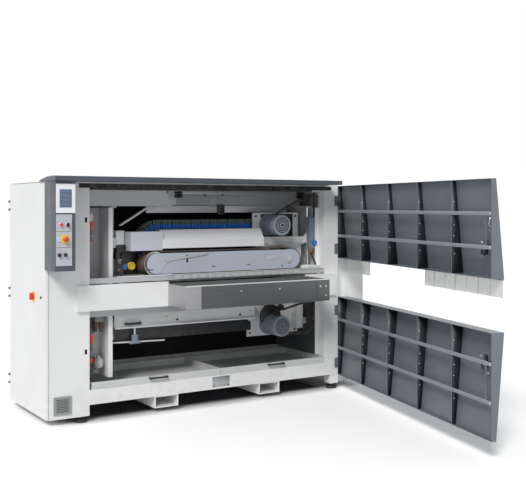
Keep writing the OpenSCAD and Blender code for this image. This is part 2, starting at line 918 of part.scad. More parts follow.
module side_plates(y) {
    for (x = [table_x0, table_x1 - side_plate_t]) {
        span([x, x + side_plate_t], y, [plate_low, plate_high]);
    }
}

module table_bed(rollers) {
    z1 = belt_top - belt_t - seat;
    inner = [table_x0 + side_plate_t, table_x1 - side_plate_t];
    span(inner, [rollers[0] + roller_r + bed_gap, rollers[1] - roller_r - bed_gap], [z1 - bed_t, z1]);
}

module conveyor_frame() color("lightgray") machine() {
    difference() {
        union() {
            side_plates([apron_y, infeed_y1]);
            side_plates([outfeed_y0, max_y]);
        }
        for (y = concat(infeed_rollers, outfeed_rollers)) {
            round_x(shaft_r + run_gap, [table_x0 - cut, table_x1 + cut], y, roller_z);
        }
    }
    table_bed(infeed_rollers);
    table_bed(outfeed_rollers);
    tube_x([open_x0, open_x1], [beam_back + seat, beam_back + seat + cross_d],
        [plate_low - cross_h, plate_low],
        sheet_t);
    tube_x([frame_x0, frame_x1], [rear_y0 - 2 * cross_d, rear_y0 - cross_d],
        [plate_low - cross_h, plate_low],
        sheet_t);
    for (x = [table_x0, table_x1 - side_plate_t]) {
        span([x, x + side_plate_t], [infeed_y1, beam_back + seat + cross_d],
            [plate_low, plate_low + cross_h]);
        span([x, x + side_plate_t], [infeed_y1, outfeed_y0], [plate_high - roller_r, plate_high]);
    }
    for (y = table_strips) span([table_x0, table_x1], y, [plate_high - bed_t, plate_high]);
}

module conveyor_apron() color("silver") machine() {
    z = [apron_top - apron_h, apron_top];
    span([table_x0 - cap_lip, table_x1 + cap_lip], [apron_y - sheet_t, apron_y], z);
    for (x = [table_x0 - cap_lip, table_x1 + cap_lip - cap_w]) {
        span([x, x + cap_w], [apron_y - sheet_t - cap_t, apron_y - sheet_t], [z[0] + cap_lip, z[1]]);
    }
    span([table_x0 - cap_lip, table_x0 - seat], [apron_y, -beam_out - seat],
        [z[0] + cap_lip, z[1] - cap_lip]);
    span([table_x1 + seat, table_x1 + cap_lip], [apron_y, -beam_out - seat],
        [z[0] + cap_lip, z[1] - cap_lip]);
    round_x(end_cap_r, [table_x1 + cap_lip, table_x1 + cap_lip + end_cap_t], infeed_rollers[0], roller_z);
}

module belt_loop(rollers) {
    difference() {
        union() {
            for (y = rollers) round_x(roller_r + belt_t, belt_x, y, roller_z);
            span(belt_x, rollers, [roller_z - roller_r - belt_t, roller_z + roller_r + belt_t]);
        }
        for (y = rollers) {
            round_x(roller_r + seat, [belt_x[0] - cut, belt_x[1] + cut], y, roller_z);
        }
        span([belt_x[0] - cut, belt_x[1] + cut], rollers,
            [roller_z - roller_r - seat, roller_z + roller_r + seat]);
    }
}

module feed_belts() color("dimgray") machine() {
    belt_loop(infeed_rollers);
    belt_loop(outfeed_rollers);
}

module roller(y) {
    round_x(roller_r, [table_x0 + side_plate_t + seat, table_x1 - side_plate_t - seat], y, roller_z);
    round_x(shaft_r, [table_x0 - seat / 2, table_x1 + seat / 2], y, roller_z);
}

module infeed_front_roller() color("silver") machine() roller(infeed_rollers[0]);

module infeed_rear_roller() color("silver") machine() roller(infeed_rollers[1]);

module outfeed_front_roller() color("silver") machine() roller(outfeed_rollers[0]);

module outfeed_rear_roller() color("silver") machine() roller(outfeed_rollers[1]);

// Processing frame: two bars over the table, end plates on the walls, columns and the header beam
frame_x0 = left_wall_x + wall_t;
frame_x1 = open_x1 - wall_t;
columns_x = [frame_x0 + column_inset, frame_x1 - column_inset];

module machining_frame() color("lightgray") machine() {
    for (x = [frame_x0, frame_x1 - end_w]) {
        span([x, x + end_w], [wall_y0 + wall_t, bar_y1], [bar_z0, bar_z0 + bar_h]);
    }
    span([open_x0, open_x1], [bar_y0, bar_y0 + bar_d], [bar_z0, bar_z0 + bar_h]);
    span([frame_x0 + end_w, frame_x1 - end_w], [bar_y1 - bar_d, bar_y1], [bar_z0, bar_z0 + bar_h]);
    for (x = columns_x) {
        span([x - tie_w / 2, x + tie_w / 2], [column_y[0] - tie_w / 2, column_y[1] + tie_w / 2],
            [column_z1, column_z1 + tie_h]);
    }
    header_x = [frame_x0, open_x1];
    span(header_x, [header_y, header_y + sheet_t], [header_z0, header_z0 + header_h]);
    span(header_x, [header_y + header_d - sheet_t, header_y + header_d], [header_z0, header_z0 + header_h]);
    span(header_x, [header_y, header_y + header_d], [column_z1 + tie_h, header_z0]);
    span(header_x, [header_y - header_lip, header_y], [header_z0 + header_h - sheet_t,
        header_z0 + header_h]);
}

module guide_columns() color("silver") machine() {
    for (x = columns_x) {
        for (y = column_y) round_z(column_r, x, y, [bar_z0 + bar_h, column_z1]);
    }
}

// Upper unit, which slides on the columns
pulley_x = [unit_x0, unit_x0 + sanding_span];
wheel_r = sanding_r - sanding_t - pulley_gap;
wheel_y = [belt_y, belt_y + pulley_w];
plate_y1 = frame_plate_y + frame_plate_t;

module unit_frame() color("whitesmoke") machine() {
    difference() {
        union() {
            stadium(frame_plate_r, unit_x0, sanding_span, [frame_plate_y, plate_y1], unit_z);
            span([motor_plate_x0, motor_plate_x1], [frame_plate_y, plate_y1],
                [unit_z, beam_z0 + unit_beam_h]);
            span([columns_x[0] + bush_r, columns_x[1] - bush_r], [plate_y1, plate_y1 + unit_beam_d],
                [beam_z0, beam_z0 + unit_beam_h]);
            span([unit_x0, unit_x0 + frame_plate_r], [frame_plate_y, plate_y1],
                [unit_z, beam_z0 + unit_beam_h]);
            span([motor_plate_x0, motor_plate_x1], [motor_plate_y + motor_flange_t,
                motor_plate_y + motor_flange_t + motor_plate_t], [motor_plate_z0, motor_plate_z1]);
            for (x = columns_x) {
                side = x == columns_x[0] ? [x, x + bush_r * 2] : [x - bush_r * 2, x];
                span(side, [column_y[0], column_y[1]], [beam_z0, beam_z0 + unit_beam_h]);
                for (y = column_y) round_z(bush_r, x, y, [beam_z0 - seat, beam_z0 + bush_h]);
            }
        }
        for (x = columns_x) {
            for (y = column_y) round_z(column_r + run_gap, x, y, [beam_z0 - bush_h, beam_z0 + 2 * bush_h]);
        }
        for (x = pulley_x) round_y(axle_r + run_gap, x, [frame_plate_y - cut, plate_y1 + cut], unit_z);
        round_y(motor_shaft_r + cut, motor_x, [motor_plate_y, motor_plate_y + 2 * unit_beam_d], motor_z);
    }
}

module pulley(x) {
    difference() {
        round_y(wheel_r, x, wheel_y, unit_z);
        round_y(wheel_r - hub_r / 2, x, [wheel_y[0] - cut, wheel_y[0] + hub_r / 2], unit_z);
    }
    round_y(axle_r, x, [wheel_y[0], plate_y1], unit_z);
    round_y(hub_r, x, [wheel_y[0], frame_plate_y - seat], unit_z);
}

module left_pulley() color("dimgray") machine() pulley(pulley_x[0]);

module right_pulley() color("dimgray") machine() pulley(pulley_x[1]);

module sanding_belt() color("sienna") machine() {
    y = [belt_y - (sanding_w - pulley_w) / 2, belt_y + (sanding_w + pulley_w) / 2];
    difference() {
        stadium(sanding_r, unit_x0, sanding_span, y, unit_z);
        stadium(sanding_r - sanding_t, unit_x0, sanding_span, [y[0] - cut, y[1] + cut], unit_z);
    }
}

// Front plate of the unit, carried by four pins from the back plate between the belt's runs
module unit_cover() color("slategray") machine() {
    stadium(cover_r, unit_x0, sanding_span, [cover_y, cover_y + cover_t], unit_z);
    for (x = pulley_x) round_y(cover_disc_r, x, [cover_y - cover_disc_t, cover_y], unit_z);
    pins = [unit_x0 + sanding_r + hub_r, unit_x0 + sanding_span - sanding_r - hub_r];
    for (x = [pins[0], (pins[0] + pins[1]) / 2, pins[1]]) {
        round_y(cover_pin_r, x, [cover_y + cover_t, frame_plate_y], unit_z);
    }
    round_y(lever_pin_r, lever_x, [lever_y1 - lever_t - lever_pin_r, cover_y], lever_z);
}

module tension_lever() color("silver") machine() {
    translate([lever_x, lever_y1, lever_z]) rotate([90, -180, 0]) difference() {
        union() {
            cylinder(r = lever_boss_r, h = lever_t);
            rotate([0, 0, lever_tilt]) {
                translate([-lever_l, -lever_w / 2, (lever_t - lever_bar_t) / 2]) {
                    cube([lever_l - lever_boss_r / 2, lever_w, lever_bar_t]);
                }
            }
        }
        translate([0, 0, -cut]) cylinder(r = lever_pin_r + run_gap, h = lever_t + 2 * cut);
    }
}

module dust_hood() color("silver") machine() {
    y = [hood_y0, hood_y0 + hood_d];
    sheet_box([hood_box_x0, hood_box_x1], y, [hood_box_z0, hood_box_z1]);
    difference() {
        profile_x([hood_box_x1, hood_x1], [[y[0], hood_z0], [y[0], hood_bend_z],
            [y[0] + hood_slope, hood_z1],
            [y[1], hood_z1], [y[1], hood_z0]]);
        profile_x([hood_box_x1 - cut, hood_x1 - sheet_t], [[y[0] + sheet_t, hood_z0 - cut],
            [y[0] + sheet_t, hood_bend_z], [y[0] + hood_slope + sheet_t, hood_z1 - sheet_t],
            [y[1] - sheet_t, hood_z1 - sheet_t], [y[1] - sheet_t, hood_z0 - cut]]);
    }
    span([hood_box_x0, hood_x1], [y[1], plate_y1], [beam_z0 + unit_beam_h + seat,
        beam_z0 + unit_beam_h + seat
        + sheet_t]);
}

// Finned motor with its fan cowl to the front and its flange on the plate
module motor(z, out) {
    y1 = motor_plate_y;
    y0 = y1 - motor_l;
    round_y(motor_r - fin_h, motor_x, [y0 + cowl_l, y1], z);
    round_y(motor_r, motor_x, [y0, y0 + cowl_l], z);
    round_y(motor_flange_r, motor_x, [y1, y1 + motor_flange_t], z);
    round_y(motor_shaft_r, motor_x, [y1, y1 + motor_flange_t + motor_plate_t + out], z);
    for (i = [0 : fin_n - 1]) {
        translate([motor_x, y0 + cowl_l, z]) rotate([-90, 360 * i / fin_n, 0]) {
            translate([motor_r - 2 * fin_h, -fin_t / 2, 0]) {
                cube([2 * fin_h, fin_t, motor_l - cowl_l - motor_flange_t]);
            }
        }
    }
}

module upper_motor() color("slategray") machine() {
    motor(motor_z, motor_plate_t);
    round_z(eye_t, motor_x, motor_plate_y - motor_l / 2 + eye_stem, [motor_z + motor_r - fin_h,
        motor_z + motor_r + eye_stem]);
    translate([motor_x, motor_plate_y - motor_l / 2 + eye_stem,
        motor_z + motor_r + eye_stem + eye_r - eye_t]) {
        rotate([0, 90, 0]) rotate_extrude() translate([eye_r - eye_t, 0]) circle(r = eye_t);
    }
}

// Brush belt behind the sanding unit, blocks of abrasive fibre on an endless belt
brush_len = 2 * brush_span + 2 * PI * (brush_r + brush_belt_t);
brush_count = floor(brush_len / brush_pitch);
brush_y1 = brush_y + brush_w;

module brush_at(s) {
    outer = brush_r + brush_belt_t;
    arc = PI * outer;
    if (s < brush_span) translate([brush_x0 + s, brush_y, brush_z + outer]) children();
    else if (s < brush_span + arc) {
        translate([brush_x0 + brush_span, brush_y, brush_z]) rotate([0,
            (s - brush_span) / outer * 180 / PI, 0]) {
            translate([0, 0, outer]) children();
        }
    }
    else if (s < 2 * brush_span + arc) {
        translate([brush_x0 + 2 * brush_span + arc - s, brush_y, brush_z]) rotate([0, 180, 0]) {
            translate([0, 0, outer]) children();
        }
    }
    else translate([brush_x0, brush_y, brush_z]) {
        rotate([0, 180 + (s - 2 * brush_span - arc) / outer * 180 / PI, 0]) translate([0, 0,
            outer]) children();
    }
}

module brush_belt() color("royalblue") machine() {
    difference() {
        stadium(brush_r + brush_belt_t, brush_x0, brush_span, [brush_y, brush_y1], brush_z);
        stadium(brush_r, brush_x0, brush_span, [brush_y - cut, brush_y1 + cut], brush_z);
    }
    for (i = [0 : brush_count - 1]) {
        brush_at(i * brush_len / brush_count) {
            translate([-brush_block / 2, 0, 0]) cube([brush_block, brush_w, brush_h]);
        }
    }
    for (x = [brush_x0, brush_x0 + brush_span]) {
        difference() {
            round_y(brush_r, x, [brush_y + brush_plate_t, brush_y1 - brush_plate_t], brush_z);
            round_y(brush_r - brush_plate_t, x, [brush_y, brush_y + brush_plate_t * 2], brush_z);
        }
        held_y = x == brush_x0 ? plate_y1 + unit_beam_d : motor_plate_y + motor_flange_t + motor_plate_t;
        round_y(axle_r, x, [held_y, brush_y + brush_plate_t * 2], brush_z + axle_r);
    }
}

// Fittings of the working room
module exhaust_duct() color("gray") machine() {
    difference() {
        span([open_x0, duct_x1], [duct_y0, duct_y0 + duct_d], [duct_z0, duct_z1]);
        span([open_x0 + sheet_t, duct_x1 - sheet_t], [duct_y0 + sheet_t, duct_y0 + duct_d - sheet_t],
            [duct_z0 + sheet_t, duct_z1 - sheet_t]);
        translate([duct_x1, duct_y0 - cut, duct_z0]) rotate([0, -atan(duct_slant / (duct_z1 - duct_z0)),
            0]) {
            cube([duct_slant, duct_d + 2 * cut, 2 * (duct_z1 - duct_z0)]);
        }
    }
}

module interlock_switches() color("red") machine() {
    for (top = interlock_tops) {
        for (i = [0 : len(interlock_parts) - 1]) {
            z0 = top - interlock_sum(i + 1) - i * interlock_gap;
            span([open_x0, open_x0 + interlock_w], [interlock_y, interlock_y + interlock_d],
                [z0, z0 + interlock_parts[i]]);
        }
    }
}

function interlock_sum(n) = n == 0 ? 0 : interlock_parts[n - 1] + interlock_sum(n - 1);

module pneumatic_unit() color("silver") machine() {
    y0 = post_d + valve_y - valve_d;
    y1 = post_d + valve_y;
    for (i = [0 : 2]) {
        x = valve_x + i * (valve_w + gear_gap);
        span([x, x + valve_w], [y0, y1], [valve_z, valve_z + valve_h - i * gear_depth / 2]);
        if (i < 2) round_z(bowl_r - i * gear_gap, x + valve_w / 2, y0 + bowl_r,
            [valve_z - bowl_h / 2, valve_z]);
    }
    span([valve_x, valve_x + 2 * valve_w], [y0, y1], [valve_z + 2 * valve_h, valve_z + 3 * valve_h]);
    for (i = [0 : 5]) {
        round_y(gear_gap, valve_x + (i + 1) * valve_w * port_share, [y0 - gear_gap, y0],
            valve_z + port_rise * valve_h);
    }
}

// Lower unit: cross panel, motor plate and closed belt guard on two beams between the walls
module lower_unit() color("whitesmoke") machine() {
    panel_y = [lower_panel_y, lower_panel_y + sheet_t];
    difference() {
        span([lower_x0, lower_x1], panel_y, [lower_panel_z0, lower_panel_z1]);
        for (x = [lower_x0 + (lower_x1 - lower_x0) * block_share, lower_x1 - rod_block]) {
            round_y(rod_r, x, [panel_y[0] - cut, panel_y[1] + cut], lower_handle_z);
        }
    }
    span([lower_x0, lower_x1], [lower_panel_y - lower_lip, lower_panel_y],
        [lower_panel_z0, lower_panel_z0 + sheet_t]);
    beam_z = [lower_beam_z0, lower_beam_z0 + lower_beam_h];
    beam_y = [motor_plate_y + motor_flange_t + motor_plate_t, motor_plate_y + motor_flange_t + 2
        * motor_plate_t
        + unit_beam_d];
    span([frame_x0, frame_x1], beam_y, beam_z);
    for (x = [lower_x0, lower_x1 - sheet_t]) {
        span([x, x + sheet_t], [panel_y[1], beam_y[0]], [lower_panel_z0, lower_panel_z0 + lower_beam_h]);
    }
    span([lower_x0, lower_x1], beam_y, [beam_z[1], lower_panel_z0 + lower_beam_h]);
    difference() {
        span([lower_plate_x0, lower_plate_x1], [motor_plate_y + motor_flange_t, beam_y[0]],
            [lower_plate_z0, lower_plate_z1]);
        round_y(motor_shaft_r + cut, motor_x, [motor_plate_y, motor_plate_y + 2 * unit_beam_d],
            lower_motor_z);
    }
    stadium(lower_guard_r, unit_x0 + lower_guard_r, sanding_span - 2 * lower_guard_r,
        [beam_y[0] - 3 * motor_plate_t, beam_y[1]], lower_guard_z);
    span([lower_x1 - wall_flange, lower_x1], beam_y, [lower_panel_z0, lower_guard_z]);
    span([lower_x0, lower_x0 + wall_flange], [panel_y[1], panel_y[1] + sheet_t],
        [lower_panel_z0, lower_panel_z1]);
}

module lower_motor() color("slategray") machine() motor(lower_motor_z, -seat);

module junction_box() color("whitesmoke") machine() {
    x1 = frame_x1;
    sheet_box([x1 - jbox_w, x1], [jbox_y, jbox_y + jbox_d], [jbox_z, jbox_z + jbox_h]);
    for (i = [0 : gland_n - 1]) {
        round_z(gland_r, x1 - jbox_w / 2 + (i - 1) * gland_pitch, jbox_y + jbox_d / 2,
            [jbox_z - gland_h, jbox_z]);
    }
}

// A cable along a smooth curve through points; ref is a direction that no stretch of it follows
function along(p, i, t) = let (a = p[max(i - 1, 0)], b = p[i], c = p[i + 1], d = p[min(i + 2, len(p) - 1)])
    b + (c - a) / 2 * t + (a - 2.5 * b + 2 * c - d / 2) * t * t + (1.5 * (b - c) + (d - a) / 2) * t * t * t;
function smooth(p, n) = concat([for (i = [0 : len(p) - 2]) for (k = [0 : n - 1]) along(p, i, k / n)],
    [p[len(p) - 1]]);
function unit(v) = v / norm(v);

module cable(points, r, ref) {
    p = smooth(points, cable_steps);
    n = len(p);
    rings = [for (i = [0 : n - 1])
        let (t = unit(p[min(i + 1, n - 1)] - p[max(i - 1, 0)]), u = unit(cross(t, ref)), v = cross(t, u))
        for (k = [0 : cable_sides - 1])
        let (a = 360 * k / cable_sides) p[i] + r * (cos(a) * u + sin(a) * v)];
    sides = [for (i = [0 : n - 2]) for (k = [0 : cable_sides - 1])
        let (a = i * cable_sides + k, b = i * cable_sides + (k + 1) % cable_sides)
        for (f = [[a, b, a + cable_sides], [b, b + cable_sides, a + cable_sides]]) f];
    first = [for (k = [1 : cable_sides - 2]) [0, k + 1, k]];
    last = [for (k = [1 : cable_sides - 2]) [0, k, k + 1] + (n - 1) * cable_sides * [1, 1, 1]];
    polyhedron(rings, concat(sides, first, last));
}

box_mid_x = frame_x1 - jbox_w / 2;
box_mid_y = jbox_y + jbox_d / 2;
box_top = jbox_z + jbox_h;
low_top = lower_motor_z + motor_r;

module power_cables() color("black") machine() {
    y = motor_plate_y - motor_l / 2;
    behind = beam_back + cross_d + 2 * cable_r;
    up_x = frame_x1 - 2 * cable_r;
    up_y = jbox_y + jbox_d - 3 * cable_r / 2;
    cable([[up_x, up_y, box_top], [up_x, up_y, wall_z1], [up_x, up_y, body_top - seat]],
        cable_r, [0, 1, 0]);
    cable([[box_mid_x, box_mid_y, jbox_z - gland_h], [box_mid_x, box_mid_y, jbox_z - 2 * gland_h],
        [box_mid_x, box_mid_y, jbox_z - 3 * gland_h],
        [box_mid_x, wall_y0 - 3 * cable_r, bar_z0 + bar_h], [box_mid_x, behind, plate_low],
        [box_mid_x, behind, plate_low - cross_h], [box_mid_x - motor_r, y, low_top + motor_r],
        [motor_x + motor_r, y, low_top + motor_r / 2], [motor_x + eye_r / 2, y, low_top + motor_r / 2],
        [motor_x, y, low_top + seat]], cable_r, cable_normal);
    for (i = [-1 : 1]) {
        x = open_x0 + interlock_w / 2 + i * cable_pitch;
        z = interlock_tops[1] - interlock_parts[0] / 2;
        y0 = interlock_y + interlock_d + seat;
        y1 = duct_y0 + cable_r;
        cable([[x, y0, z], [x, y0 + cable_r / 2, z], [x, y0 + cable_r, z], [x, y1, z + interlock_parts[0]],
            [x, y1, unit_z], [x, y1, duct_z0 - seat]], cable_r / 2, [1, 0, 0]);
    }
}

module motor_cable() color("black") machine() {
    y = motor_plate_y - motor_l / 2 - 2 * eye_r;
    top = motor_z + motor_r;
    cable([[motor_x, y, top + seat], [motor_x, y, top + cable_r], [motor_x, y, top + 2 * cable_r],
        [motor_x + motor_r * cable_swing, y, top + motor_r], [frame_x1 - motor_r, y,
            header_z0 + header_h / 2],
        [frame_x1 - seat, y, header_z0 + header_h / 2]], cable_r, [0, 1, 0]);
}

module fasteners() color("silver") machine() {
    z_high = apron_top - apron_h / 3;
    z_low = apron_top - 3 * apron_h / 4;
    left = table_x0 - cap_lip + 3 * cap_w / 4;
    right = table_x1 + cap_lip - 3 * cap_w / 4;
    cap_y = apron_y - sheet_t - cap_t;
    for (p = [[left, z_high], [left, z_low], [right, z_high], [right + 2 * foot_neck_r, z_high],
        [right + 2 * foot_neck_r, z_low]]) {
        round_y(bolt_r, p[0], [cap_y - bolt_h, cap_y], p[1]);
    }
    for (share = apron_bolt_shares) {
        round_y(bolt_r, table_x0 + share * table_w, [apron_y - sheet_t - bolt_h, apron_y - sheet_t], z_high);
    }
}

// Trays that catch the grinding dust, pulled out by their bow handles
module tray(x, handle_x) {
    z = [tray_z, tray_z + tray_h];
    difference() {
        span(x, [0, tray_depth], z);
        span([x[0] + tray_wall, x[1] - tray_wall], [tray_front_t, tray_depth - tray_wall],
            [z[0] + tray_wall, z[1] + cut]);
    }
    for (side = [-1, 1]) {
        translate([handle_x + side * (handle_l - handle_foot) / 2, -handle_out, handle_z]) {
            translate([-handle_foot / 2, 0, -handle_h / 2]) cube([handle_foot, handle_out, handle_h]);
        }
    }
    span([handle_x - handle_l / 2, handle_x + handle_l / 2], [-handle_out, handle_t - handle_out],
        [handle_z - handle_h / 2, handle_z + handle_h / 2]);
}

module left_tray() color("lightgray") machine() {
    tray([tray_x0, tray_split - tray_gap / 2], left_handle_x);
}

module right_tray() color("lightgray") machine() {
    tray([tray_split + tray_gap / 2, tray_x1], right_handle_x);
}

// Doors
function upper_t(z) = door_thin + (upper_door_z1 - z) / upper_door_h * (door_thick - door_thin);
function lower_t(z) = door_thin + (z - lower_door_z0) / lower_door_h * (door_thick - door_thin);

upper_bars = [for (share = upper_bar_shares) upper_door_z1 - share * upper_door_h];
lower_bars = [for (share = lower_bar_shares) lower_door_z1 - share * lower_door_h];
upper_latch_z = upper_bars[1];
lower_latch_z = lower_bars[0];

module door(z, t, bars, hinges, tongue_z, latch_z) {
    difference() {
        union() {
            difference() {
                profile_x([door_x0, door_x1], [[-door_gap, z[0]], [-door_gap, z[1]],
                    [-door_gap - t[1], z[1]], [-door_gap - t[0], z[0]]]);
                profile_x([door_x0 + door_sheet, door_x1 - door_sheet], [[cut, z[0] + door_sheet],
                    [cut, z[1] - door_sheet], [-door_gap - t[1] + door_sheet, z[1] - door_sheet],
                    [-door_gap - t[0] + door_sheet, z[0] + door_sheet]]);
            }
            for (i = [1 : bay_n - 1]) {
                x = door_x0 + i * door_w / bay_n;
                profile_x([x - rib_t / 2, x + rib_t / 2], [[-door_gap, z[0]], [-door_gap, z[1]],
                    [-door_gap - t[1], z[1]], [-door_gap - t[0], z[0]]]);
            }
            for (bar = bars) {
                span([door_x0, door_x1], [-door_gap - door_bar_t, -door_gap],
                    [bar - door_bar_h / 2, bar + door_bar_h / 2]);
            }
            span([keyhole_x - tongue_h / 2, keyhole_x + tongue_w / 2], [-door_gap - door_bar_t, -door_gap],
                [bars[1], bars[0]]);
            span([keyhole_x - tongue_w / 2, keyhole_x + tongue_w / 2], [-door_gap - door_bar_t,
                tongue_reach - door_gap], [tongue_z - tongue_h / 2, tongue_z + tongue_h / 2]);
            round_y(latch_boss_r, latch_x, [-door_gap - door_bar_t, -door_gap], latch_z);
            for (h = hinges) {
                round_z(hinge_knuckle_r, hinge_x, hinge_y, [h + hinge_arm_h + seat,
                    h + hinge_h - hinge_arm_h - seat]);
                span([door_x1 - cut, hinge_x], [hinge_y - hinge_knuckle_r, hinge_y + hinge_knuckle_r],
                    [h + hinge_arm_h + seat, h + hinge_h - hinge_arm_h - seat]);
            }
        }
        round_y(latch_rod_r + run_gap, latch_x, [-door_gap - door_bar_t - cut, cut], latch_z);
        round_y(latch_rod_r + cut, latch_x, [-door_gap - 2 * door_thick, -door_gap - door_bar_t - cut],
            latch_z);
        for (h = hinges) round_z(hinge_pin_r + run_gap, hinge_x, hinge_y, [h, h + hinge_h]);
    }
}

module upper_door() color("darkslategray") machine() swung() {
    door([upper_door_z0, upper_door_z1], [door_thick, door_thin], upper_bars, upper_hinge_z, keyhole_z[0],
        upper_latch_z);
}

module lower_door() color("darkslategray") machine() swung() {
    door([lower_door_z0, lower_door_z1], [door_thin, door_thick], lower_bars, lower_hinge_z, keyhole_z[1],
        lower_latch_z);
}

module strip_curtain() color("white") machine() swung() {
    pitch = door_w / strip_n;
    z1 = upper_door_z0;
    y = -door_gap - strip_y;
    for (i = [0 : strip_n - 1]) {
        share = (i + 0.5) / strip_n;
        if (share < curtain_gap_shares[0] || share > curtain_gap_shares[1]) {
            x = door_x1 - (i + 1) * pitch;
            span([x + strip_gap / 2, x + pitch - strip_gap / 2], [y - strip_t / 2, y + strip_t / 2],
                [z1 - strip_h, z1 - curtain_bar_h / 2]);
            span([x - cut, x + pitch], [y - curtain_bar_d / 2, y + curtain_bar_d / 2],
                [z1 - curtain_bar_h, z1]);
        }
    }
}

module latch(z, t) {
    lever_y = -door_gap - door_bar_t - seat;
    grip_y = -door_gap - t - latch_grip_gap;
    round_y(latch_rod_r, latch_x, [grip_y - cut, -door_gap], z);
    span([latch_x - latch_lever_w / 2, latch_x + latch_lever_w / 2], [lever_y - latch_lever_t, lever_y],
        [z - latch_lever_l / 2, z + latch_lever_l / 2]);
    span([latch_x - latch_grip_w / 2, latch_x + latch_grip_w / 2], [grip_y - latch_grip_t, grip_y],
        [z - latch_grip_l / 2, z + latch_grip_l / 2]);
}

module upper_latch() color("black") machine() swung() latch(upper_latch_z,
    upper_t(upper_latch_z - latch_grip_l / 2));

module lower_latch() color("black") machine() swung() latch(lower_latch_z,
    lower_t(lower_latch_z + latch_grip_l / 2));

// Hinges: two eyes on a leaf, with the pin that the door's knuckle turns on, and the cabinet's three
module door_hinges() color("slategray") machine() {
    for (h = concat(upper_hinge_z, lower_hinge_z)) {
        round_z(hinge_pin_r, hinge_x, hinge_y, [h, h + hinge_h]);
        for (z = [h, h + hinge_h - hinge_arm_h]) {
            round_z(hinge_eye_r, hinge_x, hinge_y, [z, z + hinge_arm_h]);
            span([hinge_x - hinge_pin_r, hinge_x + hinge_eye_r - door_gap], [hinge_y, 0],
                [z, z + hinge_arm_h]);
        }
        span([post_x1 - hinge_leaf_w, post_x1], [-hinge_leaf_t, 0], [h, h + hinge_h]);
    }
    for (share = cab_hinge_shares) {
        z = foot_h + share * (body_top - foot_h) - cab_hinge_h / 2;
        round_z(cab_pin_r, -cab_hinge_out, body_depth, [z, z + cab_hinge_h]);
        for (e = [z, z + cab_hinge_h - cab_eye_h]) {
            round_z(cab_hinge_r, -cab_hinge_out, body_depth, [e, e + cab_eye_h]);
            span([-cab_hinge_out, cab_x0 + cab_hinge_h / 2], [body_depth, body_depth + cab_pin_r],
                [e, e + cab_eye_h]);
        }
    }
}

frame_posts();
frame_rails();
fork_pockets();
machine_feet();
cabinet_shell();
electrical_gear();
filter_fan();
panel_housing();
hmi_bezel();
hmi_screen();
button_plate();
visor();
body_panels();
side_housing();
inner_walls();
beam_covers();
conveyor_frame();
conveyor_apron();
feed_belts();
machining_frame();
guide_columns();
exhaust_duct();
interlock_switches();
door_hinges();
pneumatic_unit();
lower_unit();
lower_motor();
junction_box();
power_cables();
fasteners();
cabinet_door();
main_switch_knob();
cabinet_lock();
start_button();
lamp_button();
estop_button();
mode_selector();
feed_speed_knob();
belt_speed_knob();
infeed_front_roller();
infeed_rear_roller();
outfeed_front_roller();
outfeed_rear_roller();
unit_frame();
unit_cover();
sanding_belt();
left_pulley();
right_pulley();
tension_lever();
dust_hood();
upper_motor();
brush_belt();
left_tray();
right_tray();
upper_door();
strip_curtain();
lower_door();
upper_latch();
lower_latch();
motor_cable();
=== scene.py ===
# %% [markdown]
# # A deburring machine, dressed for the camera
# The machine's exact solids come from the CAD frame. This file gives them their finishes, adds the small
# pieces that a photograph shows, and sets up the light and the camera. Every length is in metres.

# %% Load the frame
import math

import bpy
import numpy as np
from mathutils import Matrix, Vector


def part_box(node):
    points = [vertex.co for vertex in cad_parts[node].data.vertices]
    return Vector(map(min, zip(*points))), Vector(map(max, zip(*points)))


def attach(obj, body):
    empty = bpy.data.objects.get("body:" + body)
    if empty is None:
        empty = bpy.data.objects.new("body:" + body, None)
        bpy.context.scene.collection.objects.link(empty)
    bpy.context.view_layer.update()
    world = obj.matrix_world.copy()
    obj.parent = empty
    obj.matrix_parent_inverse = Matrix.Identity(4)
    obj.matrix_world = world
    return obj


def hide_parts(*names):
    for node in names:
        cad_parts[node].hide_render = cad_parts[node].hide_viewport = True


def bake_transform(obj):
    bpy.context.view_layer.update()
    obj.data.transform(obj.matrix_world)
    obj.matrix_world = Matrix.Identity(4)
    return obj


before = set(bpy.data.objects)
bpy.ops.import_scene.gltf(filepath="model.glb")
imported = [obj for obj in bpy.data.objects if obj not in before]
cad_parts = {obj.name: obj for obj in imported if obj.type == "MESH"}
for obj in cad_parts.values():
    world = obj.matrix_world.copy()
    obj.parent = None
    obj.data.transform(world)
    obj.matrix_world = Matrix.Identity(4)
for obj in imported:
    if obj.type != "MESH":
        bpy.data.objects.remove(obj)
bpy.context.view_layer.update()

# %% [markdown]
# A builder measures a machine from its own corner, not from the middle of its floor area. So every new
# piece is written from the cabinet's left face, the front of the posts and the floor, and one vector
# moves it into the frame. The doors stand open, so their pieces are written for shut doors and turned
# about the hinge pin.

# %% Where things are
FIXED, UNIT = "machine_body", "upper_unit"
DOORS = ("upper_door", "lower_door")
FRONT, BACK, UP, DOWN = (0, -1, 0), (0, 1, 0), (0, 0, 1), (0, 0, -1)
CORNER = np.array([-1.576, 0.663768192, 0.0])
HINGE = np.array([2.877, -0.016, 0.0])
OPEN = math.radians(76.5)


def placed(points, on_door=False):
    """Points from the machine's own corner, moved into the frame; on a door, first turned about a hinge."""
    points = np.asarray(points, float)
    if on_door:
        c, s = math.cos(OPEN), math.sin(OPEN)
        points = (points - HINGE) @ np.array([[c, s, 0], [-s, c, 0], [0, 0, 1]]) + HINGE
    return points + CORNER


def shown(name, data):
    """A new object with this data, linked to the scene."""
    obj = bpy.data.objects.new(name, data)
    bpy.context.scene.collection.objects.link(obj)
    return obj


print("corner", CORNER, "hinge", HINGE)


# %% [markdown]
# ## Camera
# The photograph has upright posts that stay parallel, so its camera is level, and its horizon lies above the
# middle of the picture. A level camera with a small downward shift gives the same view.

